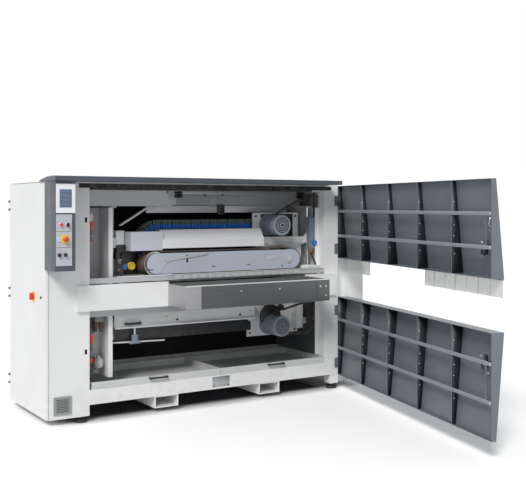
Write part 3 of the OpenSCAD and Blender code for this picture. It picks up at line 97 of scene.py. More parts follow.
# %% Camera
camera_data = bpy.data.cameras.new("camera")
camera_data.sensor_width = 36.0
camera_data.sensor_fit = "HORIZONTAL"
camera_data.lens = 61.07
camera_data.shift_x = -0.0079
camera_data.shift_y = -0.0786
camera_data.clip_end = 100.0
camera = shown("camera", camera_data)
camera.location = (-3.905, -6.2132, 1.755)
camera.rotation_euler = (math.pi / 2, 0.0, math.radians(-32.62))
bpy.context.scene.camera = camera
bpy.context.scene.view_settings.view_transform = "Standard"
print("camera at", camera.location[:])

# %% [markdown]
# ## Shader nodes
# The studio and every finish are small graphs of nodes. They could be linked one by one, but a few
# helpers say the same in one line each: a node with its inputs, a sum or product, noise, a stretched
# range and a mixed colour.


# %% Node helpers
def rgb(r, g, b):
    """A colour written as a picture shows it, 0 to 255, turned to linear light."""
    c = np.array([r, g, b], float) / 255
    linear = np.where(c <= 0.04045, c / 12.92, ((c + 0.055) / 1.055) ** 2.4)
    return (*[float(v) for v in linear], 1.0)


def new_group(name, inputs, outputs):
    """An empty shader node group with its sockets, and its input and output nodes."""
    group = bpy.data.node_groups.new(name, "ShaderNodeTree")
    for title, kind, value in inputs:
        socket = group.interface.new_socket(name=title, in_out="INPUT", socket_type="NodeSocket" + kind)
        socket.default_value = value
    for title, kind in outputs:
        group.interface.new_socket(name=title, in_out="OUTPUT", socket_type="NodeSocket" + kind)
    return group, group.nodes.new("NodeGroupInput"), group.nodes.new("NodeGroupOutput")


def add(tree, kind, links=(), **settings):
    """A node with its settings, its inputs linked or set in order of the pairs given."""
    node = tree.nodes.new("ShaderNode" + kind)
    for key, value in settings.items():
        setattr(node, key, value)
    for socket, value in links:
        target = node.inputs[socket]
        if isinstance(value, bpy.types.NodeSocket):
            tree.links.new(value, target)
        else:
            target.default_value = value
    return node


def maths(tree, operation, first, second):
    """Two values put together by one operation."""
    return add(tree, "Math", [(0, first), (1, second)], operation=operation).outputs[0]


def noise(tree, vector, scale, detail=3.0, rough=0.55):
    """Noise of a scale per metre, from 0 to 1 about 0.5."""
    return add(tree, "TexNoise", [("Vector", vector), ("Scale", scale), ("Detail", detail),
                                  ("Roughness", rough)]).outputs["Fac"]


def spread(tree, value, low, high, to_low=0.0, to_high=1.0):
    """A value from low to high, stretched to another range and held inside it."""
    return add(tree, "MapRange", [("Value", value), ("From Min", low), ("From Max", high),
                                  ("To Min", to_low), ("To Max", to_high)]).outputs["Result"]


def mixed(tree, share, first, second):
    """The first colour where the share is 0, the second where it is 1."""
    return add(tree, "Mix", [(0, share), (6, first), (7, second)], data_type="RGBA").outputs[2]


print("node helpers ready")

# %% [markdown]
# ## Studio
# A product picture has a white ground and soft light from above and in front. The ground's whiteness
# comes from what the camera sees, not from stronger lamps, so the painted sheet metal keeps its own tone.
# Under the machine the floor is dark, with soft edges, because little light gets there.


# %% World and lamp
def seen_directly(tree):
    """1 where the ray comes from the camera, a reflection or a view through glass."""
    path = add(tree, "LightPath").outputs
    ray = maths(tree, "MAXIMUM", path["Is Camera Ray"], path["Is Glossy Ray"])
    return maths(tree, "MAXIMUM", ray, path["Is Transmission Ray"])


world = bpy.data.worlds.new("studio")
bpy.context.scene.world = world
world.use_nodes = True
sky = world.node_tree
sky.nodes.clear()
backdrop = add(sky, "Background", [("Color", (1, 1, 1, 1)), ("Strength", 1.0)])
glow = add(sky, "Background", [("Color", (0.95, 0.97, 1.0, 1)), ("Strength", 0.47)])
either = add(sky, "MixShader", [(0, seen_directly(sky)), (1, glow.outputs[0]), (2, backdrop.outputs[0])])
add(sky, "OutputWorld", [("Surface", either.outputs[0])])

sun_data = bpy.data.lights.new("key", "SUN")
sun_data.energy = 2.0
sun_data.angle = math.radians(18)
sun_data.color = (1.0, 0.985, 0.96)
sun = shown("key", sun_data)
sun.rotation_euler = (math.radians(50), 0.0, math.radians(-48))
print("lamp", sun_data.energy)

# %% Floor
SIDE, BELOW, SOFT = 30, -0.001, 0.14
UNDER = (("X", -1.45, 1.28), ("Y", 0.70, 1.60))
floor_mesh = bpy.data.meshes.new("floor")
floor_mesh.from_pydata([(SIDE * x, SIDE * y, BELOW) for x, y in ((-1, -1), (1, -1), (1, 1), (-1, 1))], [],
                       [(0, 1, 2, 3)])
floor = shown("floor", floor_mesh)
floor_paint = bpy.data.materials.new("pale_floor")
floor_paint.use_nodes = True
tree = floor_paint.node_tree
tree.nodes.clear()
apart = add(tree, "SeparateXYZ", [("Vector", add(tree, "TexCoord").outputs["Object"])]).outputs
shade = 1.0
for axis, low, high in UNDER:
    for edge, soft in ((low, SOFT), (high, -SOFT)):
        shade = maths(tree, "MULTIPLY", shade, spread(tree, apart[axis], edge - soft, edge + soft))
seen = mixed(tree, shade, (1.25, 1.25, 1.25, 1), (0.09, 0.09, 0.1, 1))
pale, tinted = (add(tree, "BsdfDiffuse", [("Color", c)]).outputs[0] for c in ((0.8, 0.8, 0.8, 1), seen))
either = add(tree, "MixShader", [(0, seen_directly(tree)), (1, pale), (2, tinted)])
add(tree, "OutputMaterial", [("Surface", either.outputs[0])])
floor.data.materials.append(floor_paint)
print("floor", 2 * SIDE, "m wide")

# %% [markdown]
# ## Finishes
# Painted sheet metal is never one flat colour. Powder coat has a fine orange-peel skin, and large panels
# drift a little in tone and gloss. Each such effect is a node group with its own inputs, built once and
# placed in every material that needs it.


# %% Painted skin
def new_effect(name, inputs):
    """A group that gives a colour, a roughness and a normal, with the place of each point in its object."""
    group, gin, gout = new_group(name, inputs, [("Colour", "Color"), ("Roughness", "Float"),
                                                ("Normal", "Vector")])
    return group, gin.outputs, gout.inputs, add(group, "TexCoord").outputs["Object"]


coat, given, out, place = new_effect("Painted skin", [
    ("Colour", "Color", (0.8, 0.8, 0.8, 1)), ("Drift", "Float", 0.06), ("Soil", "Float", 0.2),
    ("Peel", "Float", 0.05), ("Gloss", "Float", 0.42)])
drift = spread(coat, noise(coat, place, 1.6, 2.0), 0.35, 0.65)
darker = add(coat, "HueSaturation", [("Color", given["Colour"]), ("Saturation", 1.0), ("Value", 0.82)])
toned = mixed(coat, maths(coat, "MULTIPLY", drift, given["Drift"]), given["Colour"], darker.outputs["Color"])
high = add(coat, "SeparateXYZ", [("Vector", place)]).outputs["Z"]
low_dust = spread(coat, high, 0.0, 0.45, 1.0, 0.0)
patch = spread(coat, noise(coat, place, 14.0, 6.0, 0.7), 0.48, 0.75)
dust = maths(coat, "MULTIPLY", maths(coat, "MULTIPLY", low_dust, patch), given["Soil"])
coat.links.new(mixed(coat, dust, toned, rgb(120, 116, 108)), out["Colour"])
cloud = spread(coat, noise(coat, place, 9.0, 5.0), 0.3, 0.7, -0.06, 0.08)
coat.links.new(maths(coat, "ADD", cloud, given["Gloss"]), out["Roughness"])
peel = noise(coat, place, 420.0, 2.0)
bump = add(coat, "Bump", [("Height", peel), ("Strength", given["Peel"]), ("Distance", 0.001)])
coat.links.new(bump.outputs["Normal"], out["Normal"])
print("painted skin", len(coat.nodes), "nodes")

# %% [markdown]
# Brushed metal has fine lines along one way. Noise stretched along that way gives them. It moves tone and
# gloss together, as real grinding marks do.

# %% Brushed metal
brushed, given, out, place = new_effect("Brushed metal", [
    ("Colour", "Color", (0.6, 0.6, 0.6, 1)), ("Grain", "Vector", (2.0, 300.0, 300.0)),
    ("Contrast", "Float", 0.25), ("Gloss", "Float", 0.35)])
stretched = add(brushed, "VectorMath", [(0, place), (1, given["Grain"])], operation="MULTIPLY").outputs[0]
lines = noise(brushed, stretched, 1.0, 4.0, 0.6)
dark = add(brushed, "HueSaturation", [("Color", given["Colour"]), ("Value", 0.6)]).outputs["Color"]
share = maths(brushed, "MULTIPLY", spread(brushed, lines, 0.35, 0.65), given["Contrast"])
brushed.links.new(mixed(brushed, share, given["Colour"], dark), out["Colour"])
swing = spread(brushed, lines, 0.3, 0.7, -0.08, 0.1)
brushed.links.new(maths(brushed, "ADD", swing, given["Gloss"]), out["Roughness"])
bump = add(brushed, "Bump", [("Height", lines), ("Strength", 0.12), ("Distance", 0.0005)])
brushed.links.new(bump.outputs["Normal"], out["Normal"])
print("brushed metal", len(brushed.nodes), "nodes")

# %% [markdown]
# Moulded plastic, rubber and foam have a grained skin and hold dust. Small cells give the grain, and a
# soft noise gives the film of dust.

# %% Moulded skin
moulded, given, out, place = new_effect("Moulded skin", [
    ("Colour", "Color", (0.05, 0.05, 0.05, 1)), ("Grain size", "Float", 700.0), ("Depth", "Float", 0.2),
    ("Dust", "Float", 0.15), ("Gloss", "Float", 0.45)])
cells = add(moulded, "TexVoronoi", [("Vector", place), ("Scale", given["Grain size"])]).outputs["Distance"]
bump = add(moulded, "Bump", [("Height", cells), ("Strength", given["Depth"]), ("Distance", 0.0006)])
moulded.links.new(bump.outputs["Normal"], out["Normal"])
film = spread(moulded, noise(moulded, place, 22.0, 6.0, 0.7), 0.42, 0.72)
film = maths(moulded, "MULTIPLY", film, given["Dust"])
moulded.links.new(mixed(moulded, film, given["Colour"], rgb(150, 148, 142)), out["Colour"])
swing = spread(moulded, noise(moulded, place, 35.0, 4.0), 0.3, 0.7, -0.05, 0.12)
moulded.links.new(maths(moulded, "ADD", swing, given["Gloss"]), out["Roughness"])
print("moulded skin", len(moulded.nodes), "nodes")

# %% [markdown]
# Some solids have two colours. A mask could be painted, but a box in space is enough: it gives 1 inside
# its two corners and 0 outside.

# %% Inside a box
inside, gin, gout = new_group("Inside a box", [
    ("Low", "Vector", (0, 0, 0)), ("High", "Vector", (1, 1, 1))], [("Mask", "Float")])
place = add(inside, "TexCoord").outputs["Object"]
mask = 1.0
for bound, test in (("Low", "GREATER_THAN"), ("High", "LESS_THAN")):
    here = add(inside, "SeparateXYZ", [("Vector", place)])
    edge = add(inside, "SeparateXYZ", [("Vector", gin.outputs[bound])])
    for axis in "XYZ":
        mask = maths(inside, "MULTIPLY", mask, maths(inside, test, here.outputs[axis], edge.outputs[axis]))
inside.links.new(mask, gout.inputs["Mask"])
print("box mask ready")

# %% [markdown]
# A finish is one material: an effect group with its values, and boxes where another colour takes over.


# %% Making a finish
def finish(name, group, colour, regions=(), **settings):
    """A material: an effect group feeding the shader, with other colours inside the boxes given. A setting
    that the group has no input for goes to the shader."""
    material = bpy.data.materials.new(name)
    material.use_nodes = True
    tree = material.node_tree
    surface = tree.nodes["Principled BSDF"]
    effect = tree.nodes.new("ShaderNodeGroup")
    effect.node_tree = group
    for setting, value in settings.items():
        title = setting.replace("_", " ")
        owner = effect if title in effect.inputs else surface
        owner.inputs[title].default_value = value
    for low, high, other in regions:
        box = tree.nodes.new("ShaderNodeGroup")
        box.node_tree = inside
        box.inputs["Low"].default_value, box.inputs["High"].default_value = placed([low, high])
        colour = mixed(tree, box.outputs["Mask"], colour, other)
    if regions:
        tree.links.new(colour, effect.inputs["Colour"])
    else:
        effect.inputs["Colour"].default_value = colour
    for title in ("Roughness", "Normal"):
        tree.links.new(effect.outputs[title], surface.inputs[title])
    tree.links.new(effect.outputs["Colour"], surface.inputs["Base Color"])
    return material


WHITE = rgb(242, 243, 243)
BLACK = rgb(30, 31, 33)
white_paint = finish("white_paint", coat, WHITE, Drift=0.25, Soil=0.25, Peel=0.12, Coat_Weight=0.15)
slate_paint = finish("slate_paint", coat, rgb(74, 83, 91), Drift=0.8, Soil=0.1, Peel=0.2, Gloss=0.4,
                     Coat_Weight=0.1)
grey_paint = finish("grey_paint", coat, rgb(190, 192, 196), Drift=0.4, Soil=0.35, Peel=0.15)
motor_paint = finish("motor_paint", moulded, rgb(156, 168, 180), Grain_size=260.0, Depth=0.5, Dust=0.25,
                     Gloss=0.42)
stainless = finish("stainless", brushed, rgb(178, 181, 184), Contrast=0.5, Gloss=0.3, Metallic=0.85)
bright_steel = finish("bright_steel", brushed, rgb(206, 208, 210), Grain=(300.0, 300.0, 4.0), Contrast=0.35,
                      Gloss=0.26, Metallic=0.9)
black_plastic = finish("black_plastic", moulded, BLACK, Depth=0.25, Dust=0.08)
grey_plastic = finish("grey_plastic", moulded, rgb(150, 153, 155), Depth=0.15, Dust=0.1)
light_plastic = finish("light_plastic", moulded, rgb(205, 207, 207), Depth=0.12, Dust=0.06)
signal_red = finish("signal_red", moulded, rgb(226, 62, 30), Depth=0.08, Dust=0.03, Gloss=0.3,
                    Coat_Weight=0.2)
rubber = finish("rubber", moulded, rgb(36, 37, 38), Grain_size=300.0, Depth=0.4, Dust=0.3, Gloss=0.7)
print("finishes", len(bpy.data.materials))

# %% [markdown]
# ## Painting the exact solids
# Most of the machine is right as the frame gives it: posts, doors, covers and plates only need their
# finish, first painted sheet and bright metal, then plastic, rubber and glass.


# %% Paint and metal
def dress(material, *nodes):
    """The finish goes on every material slot of these solids."""
    for name in nodes:
        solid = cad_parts[name]
        if not solid.material_slots:
            solid.data.materials.append(material)
        for slot in solid.material_slots:
            slot.link = "OBJECT"
            slot.material = material


cover_paint = finish("cover_paint", coat, rgb(192, 198, 212), Drift=0.5, Soil=0.0, Peel=0.1)
box_paint = finish("box_paint", coat, rgb(128, 140, 154), Drift=0.4, Soil=0.0, Peel=0.15)
door_slate = finish("door_slate", coat, rgb(114, 122, 129), Drift=0.9, Soil=0.05, Peel=0.2, Gloss=0.4,
                    Coat_Weight=0.1)
dress(white_paint, "frame_posts", "frame_rails", "cabinet_shell", "body_panels", "side_housing",
      "beam_covers", "unit_frame", "lower_unit", "fork_pockets")
dress(door_slate, "upper_door", "lower_door")
dress(slate_paint, "visor", "panel_housing")
dress(grey_paint, "exhaust_duct", "machining_frame", "conveyor_frame")
dress(motor_paint, "upper_motor", "lower_motor")
dress(cover_paint, "unit_cover")
dress(box_paint, "junction_box")
dress(stainless, "electrical_gear")
dress(bright_steel, "guide_columns", "infeed_front_roller", "infeed_rear_roller", "outfeed_front_roller",
      "outfeed_rear_roller", "tension_lever", "fasteners", "left_pulley", "right_pulley")
print("painted and bright solids dressed")

# %% Plastic, rubber and glass
bezel_white = finish("bezel_white", moulded, rgb(246, 248, 252), Depth=0.05, Dust=0.02)
sanding_cloth = finish("sanding_cloth", moulded, rgb(108, 86, 73), Grain_size=900.0, Depth=0.8, Dust=0.25,
                       Gloss=0.75)
clear_strip = finish("clear_strip", moulded, rgb(238, 240, 237), Grain_size=60.0, Depth=0.02, Dust=0.1,
                     Gloss=0.3, Alpha=0.55)
dress(black_plastic, "upper_latch", "lower_latch", "cabinet_lock", "mode_selector", "belt_speed_knob",
      "feed_speed_knob", "machine_feet")
dress(grey_plastic, "filter_fan")
dress(bezel_white, "hmi_bezel")
dress(finish("plate_grey", moulded, rgb(196, 197, 205), Depth=0.1, Dust=0.04), "button_plate")
dress(signal_red, "main_switch_knob", "start_button", "estop_button")
dress(rubber, "motor_cable", "power_cables")
dress(finish("hinge_paint", moulded, rgb(104, 118, 130), Grain_size=300.0, Depth=0.3), "door_hinges")
dress(finish("fitting_grey", moulded, rgb(120, 124, 126), Depth=0.15, Dust=0.3), "pneumatic_unit")
dress(finish("lit_plastic", moulded, rgb(196, 214, 236), Depth=0.05, Dust=0.02, Gloss=0.2, Coat_Weight=0.4),
      "lamp_button")
dress(finish("belt_rubber", moulded, rgb(72, 76, 74), Grain_size=240.0, Depth=0.6, Dust=0.3, Gloss=0.6),
      "feed_belts")
dress(sanding_cloth, "sanding_belt")
dress(finish("bristle_blue", moulded, rgb(28, 92, 196), Grain_size=800.0, Depth=1.0, Dust=0.25, Gloss=0.7),
      "brush_belt")
dress(clear_strip, "strip_curtain")
dress(finish("screen_glass", moulded, rgb(84, 100, 130), Depth=0.0, Dust=0.04, Gloss=0.08, Coat_Weight=0.6),
      "hmi_screen")
print("plastic solids dressed")

# %% [markdown]
# Where one solid has two finishes, such as a grey tray with a black handle, the second one is bound to a
# box in space. It could be a piece of its own, but then one moulding would be two.

# %% Solids with a second colour
RED = rgb(205, 40, 38)
dress(finish("tray_paint", coat, rgb(214, 216, 216), Drift=0.5, Soil=0.3, Peel=0.1,
             regions=[((0.0, -0.2, 0.2), (3.0, -0.0005, 0.4), BLACK)]), "left_tray", "right_tray")
switch_plate = ((-0.0045, 0.26, 0.96), (-0.0002, 0.36, 1.07), rgb(240, 205, 40))
lock_plate = ((-0.02, 0.1, 1.0), (-0.0002, 0.15, 1.04), BLACK)
dress(finish("cabinet_door_paint", coat, WHITE, regions=[switch_plate, lock_plate], Drift=0.25, Soil=0.25,
             Peel=0.12, Coat_Weight=0.15), "cabinet_door")
bands = ((1.63, 1.72, rgb(196, 196, 194)), (1.56, 1.63, RED), (1.40, 1.468, RED), (0.63, 0.71, RED),
         (0.40, 0.52, RED))
dress(finish("switch_plastic", moulded, rgb(92, 93, 96), Depth=0.12, Dust=0.1,
             regions=[((0.3, 0.0, low), (0.5, 0.1, high), tone) for low, high, tone in bands]),
      "interlock_switches")
dress(finish("hood_steel", brushed, rgb(238, 239, 242), Contrast=0.15, Gloss=0.42, Metallic=0.1,
             regions=[((0.7, 0.0, 1.3), (1.0519, 0.3, 1.6), rgb(206, 209, 218))]), "dust_hood")
end_cap = ((1.0, -0.4, 0.85), (1.2, 0.1, 1.15), rgb(182, 182, 184))
top_edge = ((1.0, -0.4, 1.084), (2.6, -0.3, 1.15), rgb(226, 227, 229))
dress(finish("apron_steel", brushed, rgb(108, 110, 112), regions=[end_cap, top_edge], Contrast=0.3,
             Gloss=0.34, Metallic=0.6), "conveyor_apron")
# Darker boxes on the white inner walls are painted shade: on the left return wall and in the lower right
# corner.
left_wall_shade = ((0.36, 0.0, 1.1), (0.5705, 0.9, 1.9), rgb(206, 205, 208))
lower_right_shade = ((2.60, 0.12, 0.25), (2.80, 0.95, 0.9), rgb(92, 94, 98))
dress(finish("wall_paint", coat, WHITE, regions=[left_wall_shade, lower_right_shade], Drift=0.3, Soil=0.1, Peel=0.12),
      "inner_walls")
bare = [n for n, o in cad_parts.items() if not all(s.link == "OBJECT" for s in o.material_slots)]
print("solids still without a finish:", bare)

# %% [markdown]
# ## Shapes worked out with numbers
# Small pieces of a machine are turned, bent or extruded. Each of the makers below computes whole rings of
# points at once and skins them, so a knob, a cable and a rounded block come from the same few lines. A
# ring is closed, and a fan to its own middle closes each end.


# %% Skinning rings of points
def skinned(rings):
    """Neighbouring rings joined by quads, with a fan at both ends; turned so that the volume is positive."""
    rows, columns = rings.shape[:2]
    points = np.concatenate([rings.reshape(-1, 3), rings[[0, -1]].mean(1)])
    r, c = np.meshgrid(np.arange(rows - 1), np.arange(columns), indexing="ij")
    a, b = r * columns + c, r * columns + (c + 1) % columns
    quads = np.stack([a, b, b + columns, a + columns], -1).reshape(-1, 4)
    c = np.arange(columns)
    d, last, total = (c + 1) % columns, (rows - 1) * columns, rows * columns
    fans = np.concatenate([np.stack([d, c, np.full(columns, total)], -1),
                           np.stack([last + c, last + d, np.full(columns, total + 1)], -1)])
    corners = np.concatenate([quads[:, :3], quads[:, [0, 2, 3]], fans])
    p, q, s = (points[corners[:, i]] for i in range(3))
    if np.einsum("ij,ij->", p, np.cross(q, s)) < 0:
        quads, fans = quads[:, ::-1], fans[:, ::-1]
    return points, quads, fans


def square_to(axis):
    """An axis made one long, with two unit directions at right angles to it and to each other."""
    axis = np.asarray(axis, float) / np.linalg.norm(axis)
    other = np.array([0.0, 0.0, 1.0]) if abs(axis[2]) < 0.9 else np.array([1.0, 0.0, 0.0])
    u = np.cross(axis, other)
    u /= np.linalg.norm(u)
    return axis, u, np.cross(axis, u)


print("square to up:", *square_to(UP)[1:])

# %% [markdown]
# A knob or a pipe end is turned: one profile goes round an axis. A plate or bar is a box, but real edges
# are never sharp, so a rounded rectangle is carried up and drawn in a little at both ends.


# %% Turned shapes and blocks
def turned(base, axis, profile, sides=32):
    """A profile of (distance, radius) turned round an axis: base + distance * axis
    + radius * (u cos a + v sin a)."""
    axis, u, v = square_to(axis)
    a = 2 * np.pi * (np.arange(sides) + 0.5) / sides
    around = np.cos(a)[:, None] * u + np.sin(a)[:, None] * v
    profile = np.asarray(profile, float)
    return skinned(np.asarray(base, float) + profile[:, 0, None, None] * axis
                   + profile[:, 1, None, None] * around)


def block(x, y, z, ease=0.0015):
    """A box with eased edges: a rounded rectangle carried up, its corners' radius ease sin t at the ends."""
    ease = min(ease, 0.49 * min(x[1] - x[0], y[1] - y[0], z[1] - z[0]))
    t = np.linspace(0.12, np.pi / 2, 4)
    lift = np.concatenate([ease * (1 - np.cos(t)), z[1] - z[0] - ease * (1 - np.cos(t[::-1]))])
    radius = np.concatenate([ease * np.sin(t), ease * np.sin(t[::-1])])
    a = np.linspace(0, 2 * np.pi, 16, endpoint=False) + np.pi / 16
    way = np.stack([np.cos(a), np.sin(a)], -1)
    half = np.array([x[1] - x[0], y[1] - y[0]]) / 2 - ease
    middle = np.array([x[0] + x[1], y[0] + y[1]]) / 2
    flat = middle + np.sign(way) * half + radius[:, None, None] * way
    height = np.broadcast_to((z[0] + lift)[:, None, None], (*flat.shape[:2], 1))
    return skinned(np.concatenate([flat, height], -1))


print("a block has", len(block((0, 1), (0, 1), (0, 1))[0]), "points")

# %% [markdown]
# A cable, hose or flat bar is one outline carried along a line. A few points say where it goes, and a
# smooth curve joins them.


# %% Outlines carried along a line
def carried(outline, path, up=(0.0, 0.0, 1.0)):
    """A closed outline of (side, up) pairs carried along a path: path + side * s + up * n at each point."""
    path = np.asarray(path, float)
    way = np.gradient(path, axis=0)
    way /= np.linalg.norm(way, axis=1)[:, None]
    s = np.cross(way, np.asarray(up, float))
    s /= np.linalg.norm(s, axis=1)[:, None]
    n = np.cross(s, way)
    outline = np.asarray(outline, float)
    side, lift = outline[None, :, 0, None] * s[:, None], outline[None, :, 1, None] * n[:, None]
    return skinned(path[:, None] + side + lift)


def curve_through(points, steps=10):
    """A smooth line through points: each stretch a cubic whose slope at a point is half the step past it."""
    p = np.asarray(points, float)
    p = np.concatenate([p[:1] * 2 - p[1:2], p, p[-1:] * 2 - p[-2:-1]])
    t = np.arange(steps)[:, None, None] / steps
    a, b, c, d = p[:-3], p[1:-2], p[2:-1], p[3:]
    bend, twist = a - 2.5 * b + 2 * c - d / 2, 1.5 * (b - c) + (d - a) / 2
    inner = b + (c - a) / 2 * t + bend * t ** 2 + twist * t ** 3
    return np.concatenate([inner.transpose(1, 0, 2).reshape(-1, 3), p[-2:-1]])


def tube(points, radius, sides=12, up=(0.3, 0.2, 1.0), steps=8):
    """A round outline carried along the smooth line through points."""
    a = 2 * np.pi * np.arange(sides) / sides
    return carried(radius * np.stack([np.cos(a), np.sin(a)], -1), curve_through(points, steps), up)


print("a bent tube has", len(tube([(0, 0, 0), (1, 0, 0), (1, 1, 0)], 0.1)[0]), "points")

# %% [markdown]
# Screw heads come in groups, so one head is made and copied to its spots. A piece joins its shapes in one
# mesh, as they are one part on the real machine.


# %% Bolts and pieces
def bolts(spots, axis, radius, height, sides=6):
    """Hexagon heads with a small chamfer at each spot."""
    profile = [(0, radius), (0.7 * height, radius), (height, 0.8 * radius)]
    points, quads, fans = turned((0, 0, 0), axis, profile, sides)
    return [(points + np.asarray(spot, float), quads, fans) for spot in spots]


def piece(name, shapes, body, material, sharp=True):
    """One mesh object made of shapes, put in the frame and set on the body it rides. Its faces are shaded
    smooth, and where sharp is true its edges over 38 degrees stay sharp."""
    shapes = shapes if isinstance(shapes, list) else [shapes]
    starts = np.cumsum([0] + [len(s[0]) for s in shapes])
    points = placed(np.concatenate([s[0] for s in shapes]), body in DOORS)
    quads = np.concatenate([s[1] + k for s, k in zip(shapes, starts)])
    fans = np.concatenate([s[2] + k for s, k in zip(shapes, starts)])
    mesh = bpy.data.meshes.new(name)
    mesh.from_pydata(points, [], quads.tolist() + fans.tolist(), shade_flat=False)
    mesh.validate()
    if sharp:
        mesh.set_sharp_from_angle(angle=math.radians(38))
    mesh.materials.append(material)
    obj = shown(name, mesh)
    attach(obj, body)
    return obj


print("makers ready")

# %% [markdown]
# ## What closes the view
# Behind the working parts the machine lies in shade. Near-black blocks line its covers as painted shade, and
# a black strip runs along the top of the opening: in front a rubber seal, on the rail's front behind it
# painted shade. Single sheets could do, but thin eased blocks are closed solids, so they look right from
# every side.

# %% Lining and seal
ROOM_X = (0.373, 2.709)
# Near-black lining of the covers behind the working parts: painted shade.
shade_lining_finish = finish("shade_lining_black", moulded, rgb(20, 21, 23), Grain_size=120.0, Depth=0.5, Dust=0.0, Gloss=0.9)
piece("shade_lining", [block(ROOM_X, (0.838, 0.846), (1.262, 1.918)),
                      block((0.61, ROOM_X[1]), (0.826, 0.836), (0.33, 0.86)),
                      block(ROOM_X, (0.112, 0.83), (1.93, 1.938))], FIXED, shade_lining_finish)
# A black rubber seal along the top of the opening; its second block, on the rail's front, is painted shade.
piece("seal_and_shade_strip", [block((0.27, 2.80), (-0.0034, -0.0002), (1.900, 1.936)),
                    block((0.362, 2.60), (0.0362, 0.0398), (1.884, 1.91))], FIXED, rubber)
print("lining and seal in place")

# %% [markdown]
# ## Brush belt
# The exact frame has plain blocks on a belt. A real belt carries blue abrasive bristle with a grey-green
# lamella outside it, in blocks of four tufts. Thousands of single hairs would be too heavy, so each tuft
# is one lens-shaped outline carried outwards. It widens a little and leans, by a sine of its own number,
# as bristles do.


# %% Tufts along the belt
BRUSH_X, BRUSH_Z = (1.14, 2.32), 1.391
WHEEL_R = 0.2
BELT_LENGTH = 3.6167
LENS = np.array([(-1, 0), (-0.6, 1), (0.6, 1), (1, 0), (0.6, -1), (-0.6, -1)], float)


def belt_point(s, radius):
    """The place at length s along the oval belt, at a radius round its wheels' axes: x + radius * cos a and
    z + radius * sin a, where a is the outward way there. Gives the place and a."""
    straight, turn = BRUSH_X[1] - BRUSH_X[0], math.pi * WHEEL_R
    s = np.asarray(s, float) % (2 * (straight + turn))
    stretches = [s < straight, s < straight + turn, s < 2 * straight + turn]
    a = np.select(stretches, [np.full_like(s, np.pi / 2), np.pi / 2 - (s - straight) / WHEEL_R,
                              np.full_like(s, -np.pi / 2)], -np.pi / 2 - (s - 2 * straight - turn) / WHEEL_R)
    x = np.select(stretches, [BRUSH_X[0] + s, np.full_like(s, BRUSH_X[1]),
                              BRUSH_X[1] - (s - straight - turn)], np.full_like(s, BRUSH_X[0]))
    return np.stack([x + radius * np.cos(a), BRUSH_Z + radius * np.sin(a)], -1), a


def tufts(s, y, radii, width, rows, sway=0.004):
    """A tuft at each length s: a lens carried outwards between two radii, with t from 0 to 1 on the way.
    Its width is width * (0.72 + 0.38 t), and it leans by sway * sin(2.4 k) * t^2, where k is its number."""
    t = np.linspace(0, 1, rows)
    grow = width * (0.72 + 0.38 * t) / 2
    reach = radii[0] + (radii[1] - radii[0]) * t
    depth = (y[0] + y[1]) / 2 + (y[1] - y[0]) / 2 * LENS[:, 1] * np.ones((rows, 1))
    shapes = []
    for k, length in enumerate(s):
        centre, a = belt_point(np.full(rows, length), 0.0)
        lean = sway * np.sin(k * 2.4) * t ** 2
        along = np.array([np.sin(a[0]), -np.cos(a[0])])
        outward = np.array([np.cos(a[0]), np.sin(a[0])])
        middle = centre + reach[:, None] * outward + lean[:, None] * along
        side = middle[:, None] + (LENS[:, 0] * grow[:, None])[..., None] * along
        shapes.append(skinned(np.stack([side[..., 0], depth, side[..., 1]], -1)))
    return shapes


# %% [markdown]
# The carrier is a flat belt on two wheels. Its cross-section has four corners, and the belt closes on
# itself, so it needs no end fans. Together with the tufts it stands for the frame's brush belt.


# %% Carrier, bristles and lamellae
def looped(rings):
    """Rings joined round into a closed band, the last one to the first."""
    rows, columns = rings.shape[:2]
    c, r = np.meshgrid(np.arange(columns), np.arange(rows), indexing="ij")
    here, after = r * columns, (r + 1) % rows * columns
    quads = np.stack([here + c, after + c, after + (c + 1) % columns, here + (c + 1) % columns], -1)
    return rings.reshape(-1, 3), quads.reshape(-1, 4), np.zeros((0, 3), int)


bristle = finish("bristle", moulded, rgb(70, 156, 255), Grain_size=900.0, Depth=1.0, Dust=0.08, Gloss=0.7)
lamella = finish("lamella", moulded, rgb(124, 140, 134), Grain_size=500.0, Depth=0.9, Dust=0.25, Gloss=0.85)
steps = 180
a = np.linspace(0, BELT_LENGTH, steps + 1)[:-1]
oval = np.stack([belt_point(a, r)[0] for r in (0.1455, 0.152, 0.152, 0.1455)])
depth = np.array([0.345, 0.345, 0.407, 0.407])[:, None, None] * np.ones((1, steps, 1))
band = np.concatenate([oval[..., :1], depth, oval[..., 1:]], -1).transpose(1, 0, 2)
wheels = [turned((x, 0.35, BRUSH_Z), BACK, [(0, 0.144), (0.052, 0.144)], 48) for x in BRUSH_X]
carrier = piece("brush_carrier", [looped(band), *wheels], UNIT, rubber)
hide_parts("brush_belt")
blocks, row, pitch = 38, 4, 0.0222
s = (BELT_LENGTH / blocks * np.arange(blocks)[:, None] + pitch * (np.arange(row) - 1.5)).ravel()
piece("brush_bristles", tufts(s, (0.346, 0.406), (0.151, 0.196), 0.0232, 3), UNIT, bristle)
piece("brush_lamellae", tufts(s, (0.347, 0.405), (0.192, 0.237), 0.0236, 5), UNIT, lamella)
print("tufts", len(s))

# %% [markdown]
# ## Machining room
# The upper unit hangs from a header that crosses the room. Round it sit the pieces that a fitter meets
# first: the clamps of the header, gauges, cable ends, a guide bar made of segments and a slanted brace.
# They are turned or eased blocks, because each is a bought part or a cut bar.

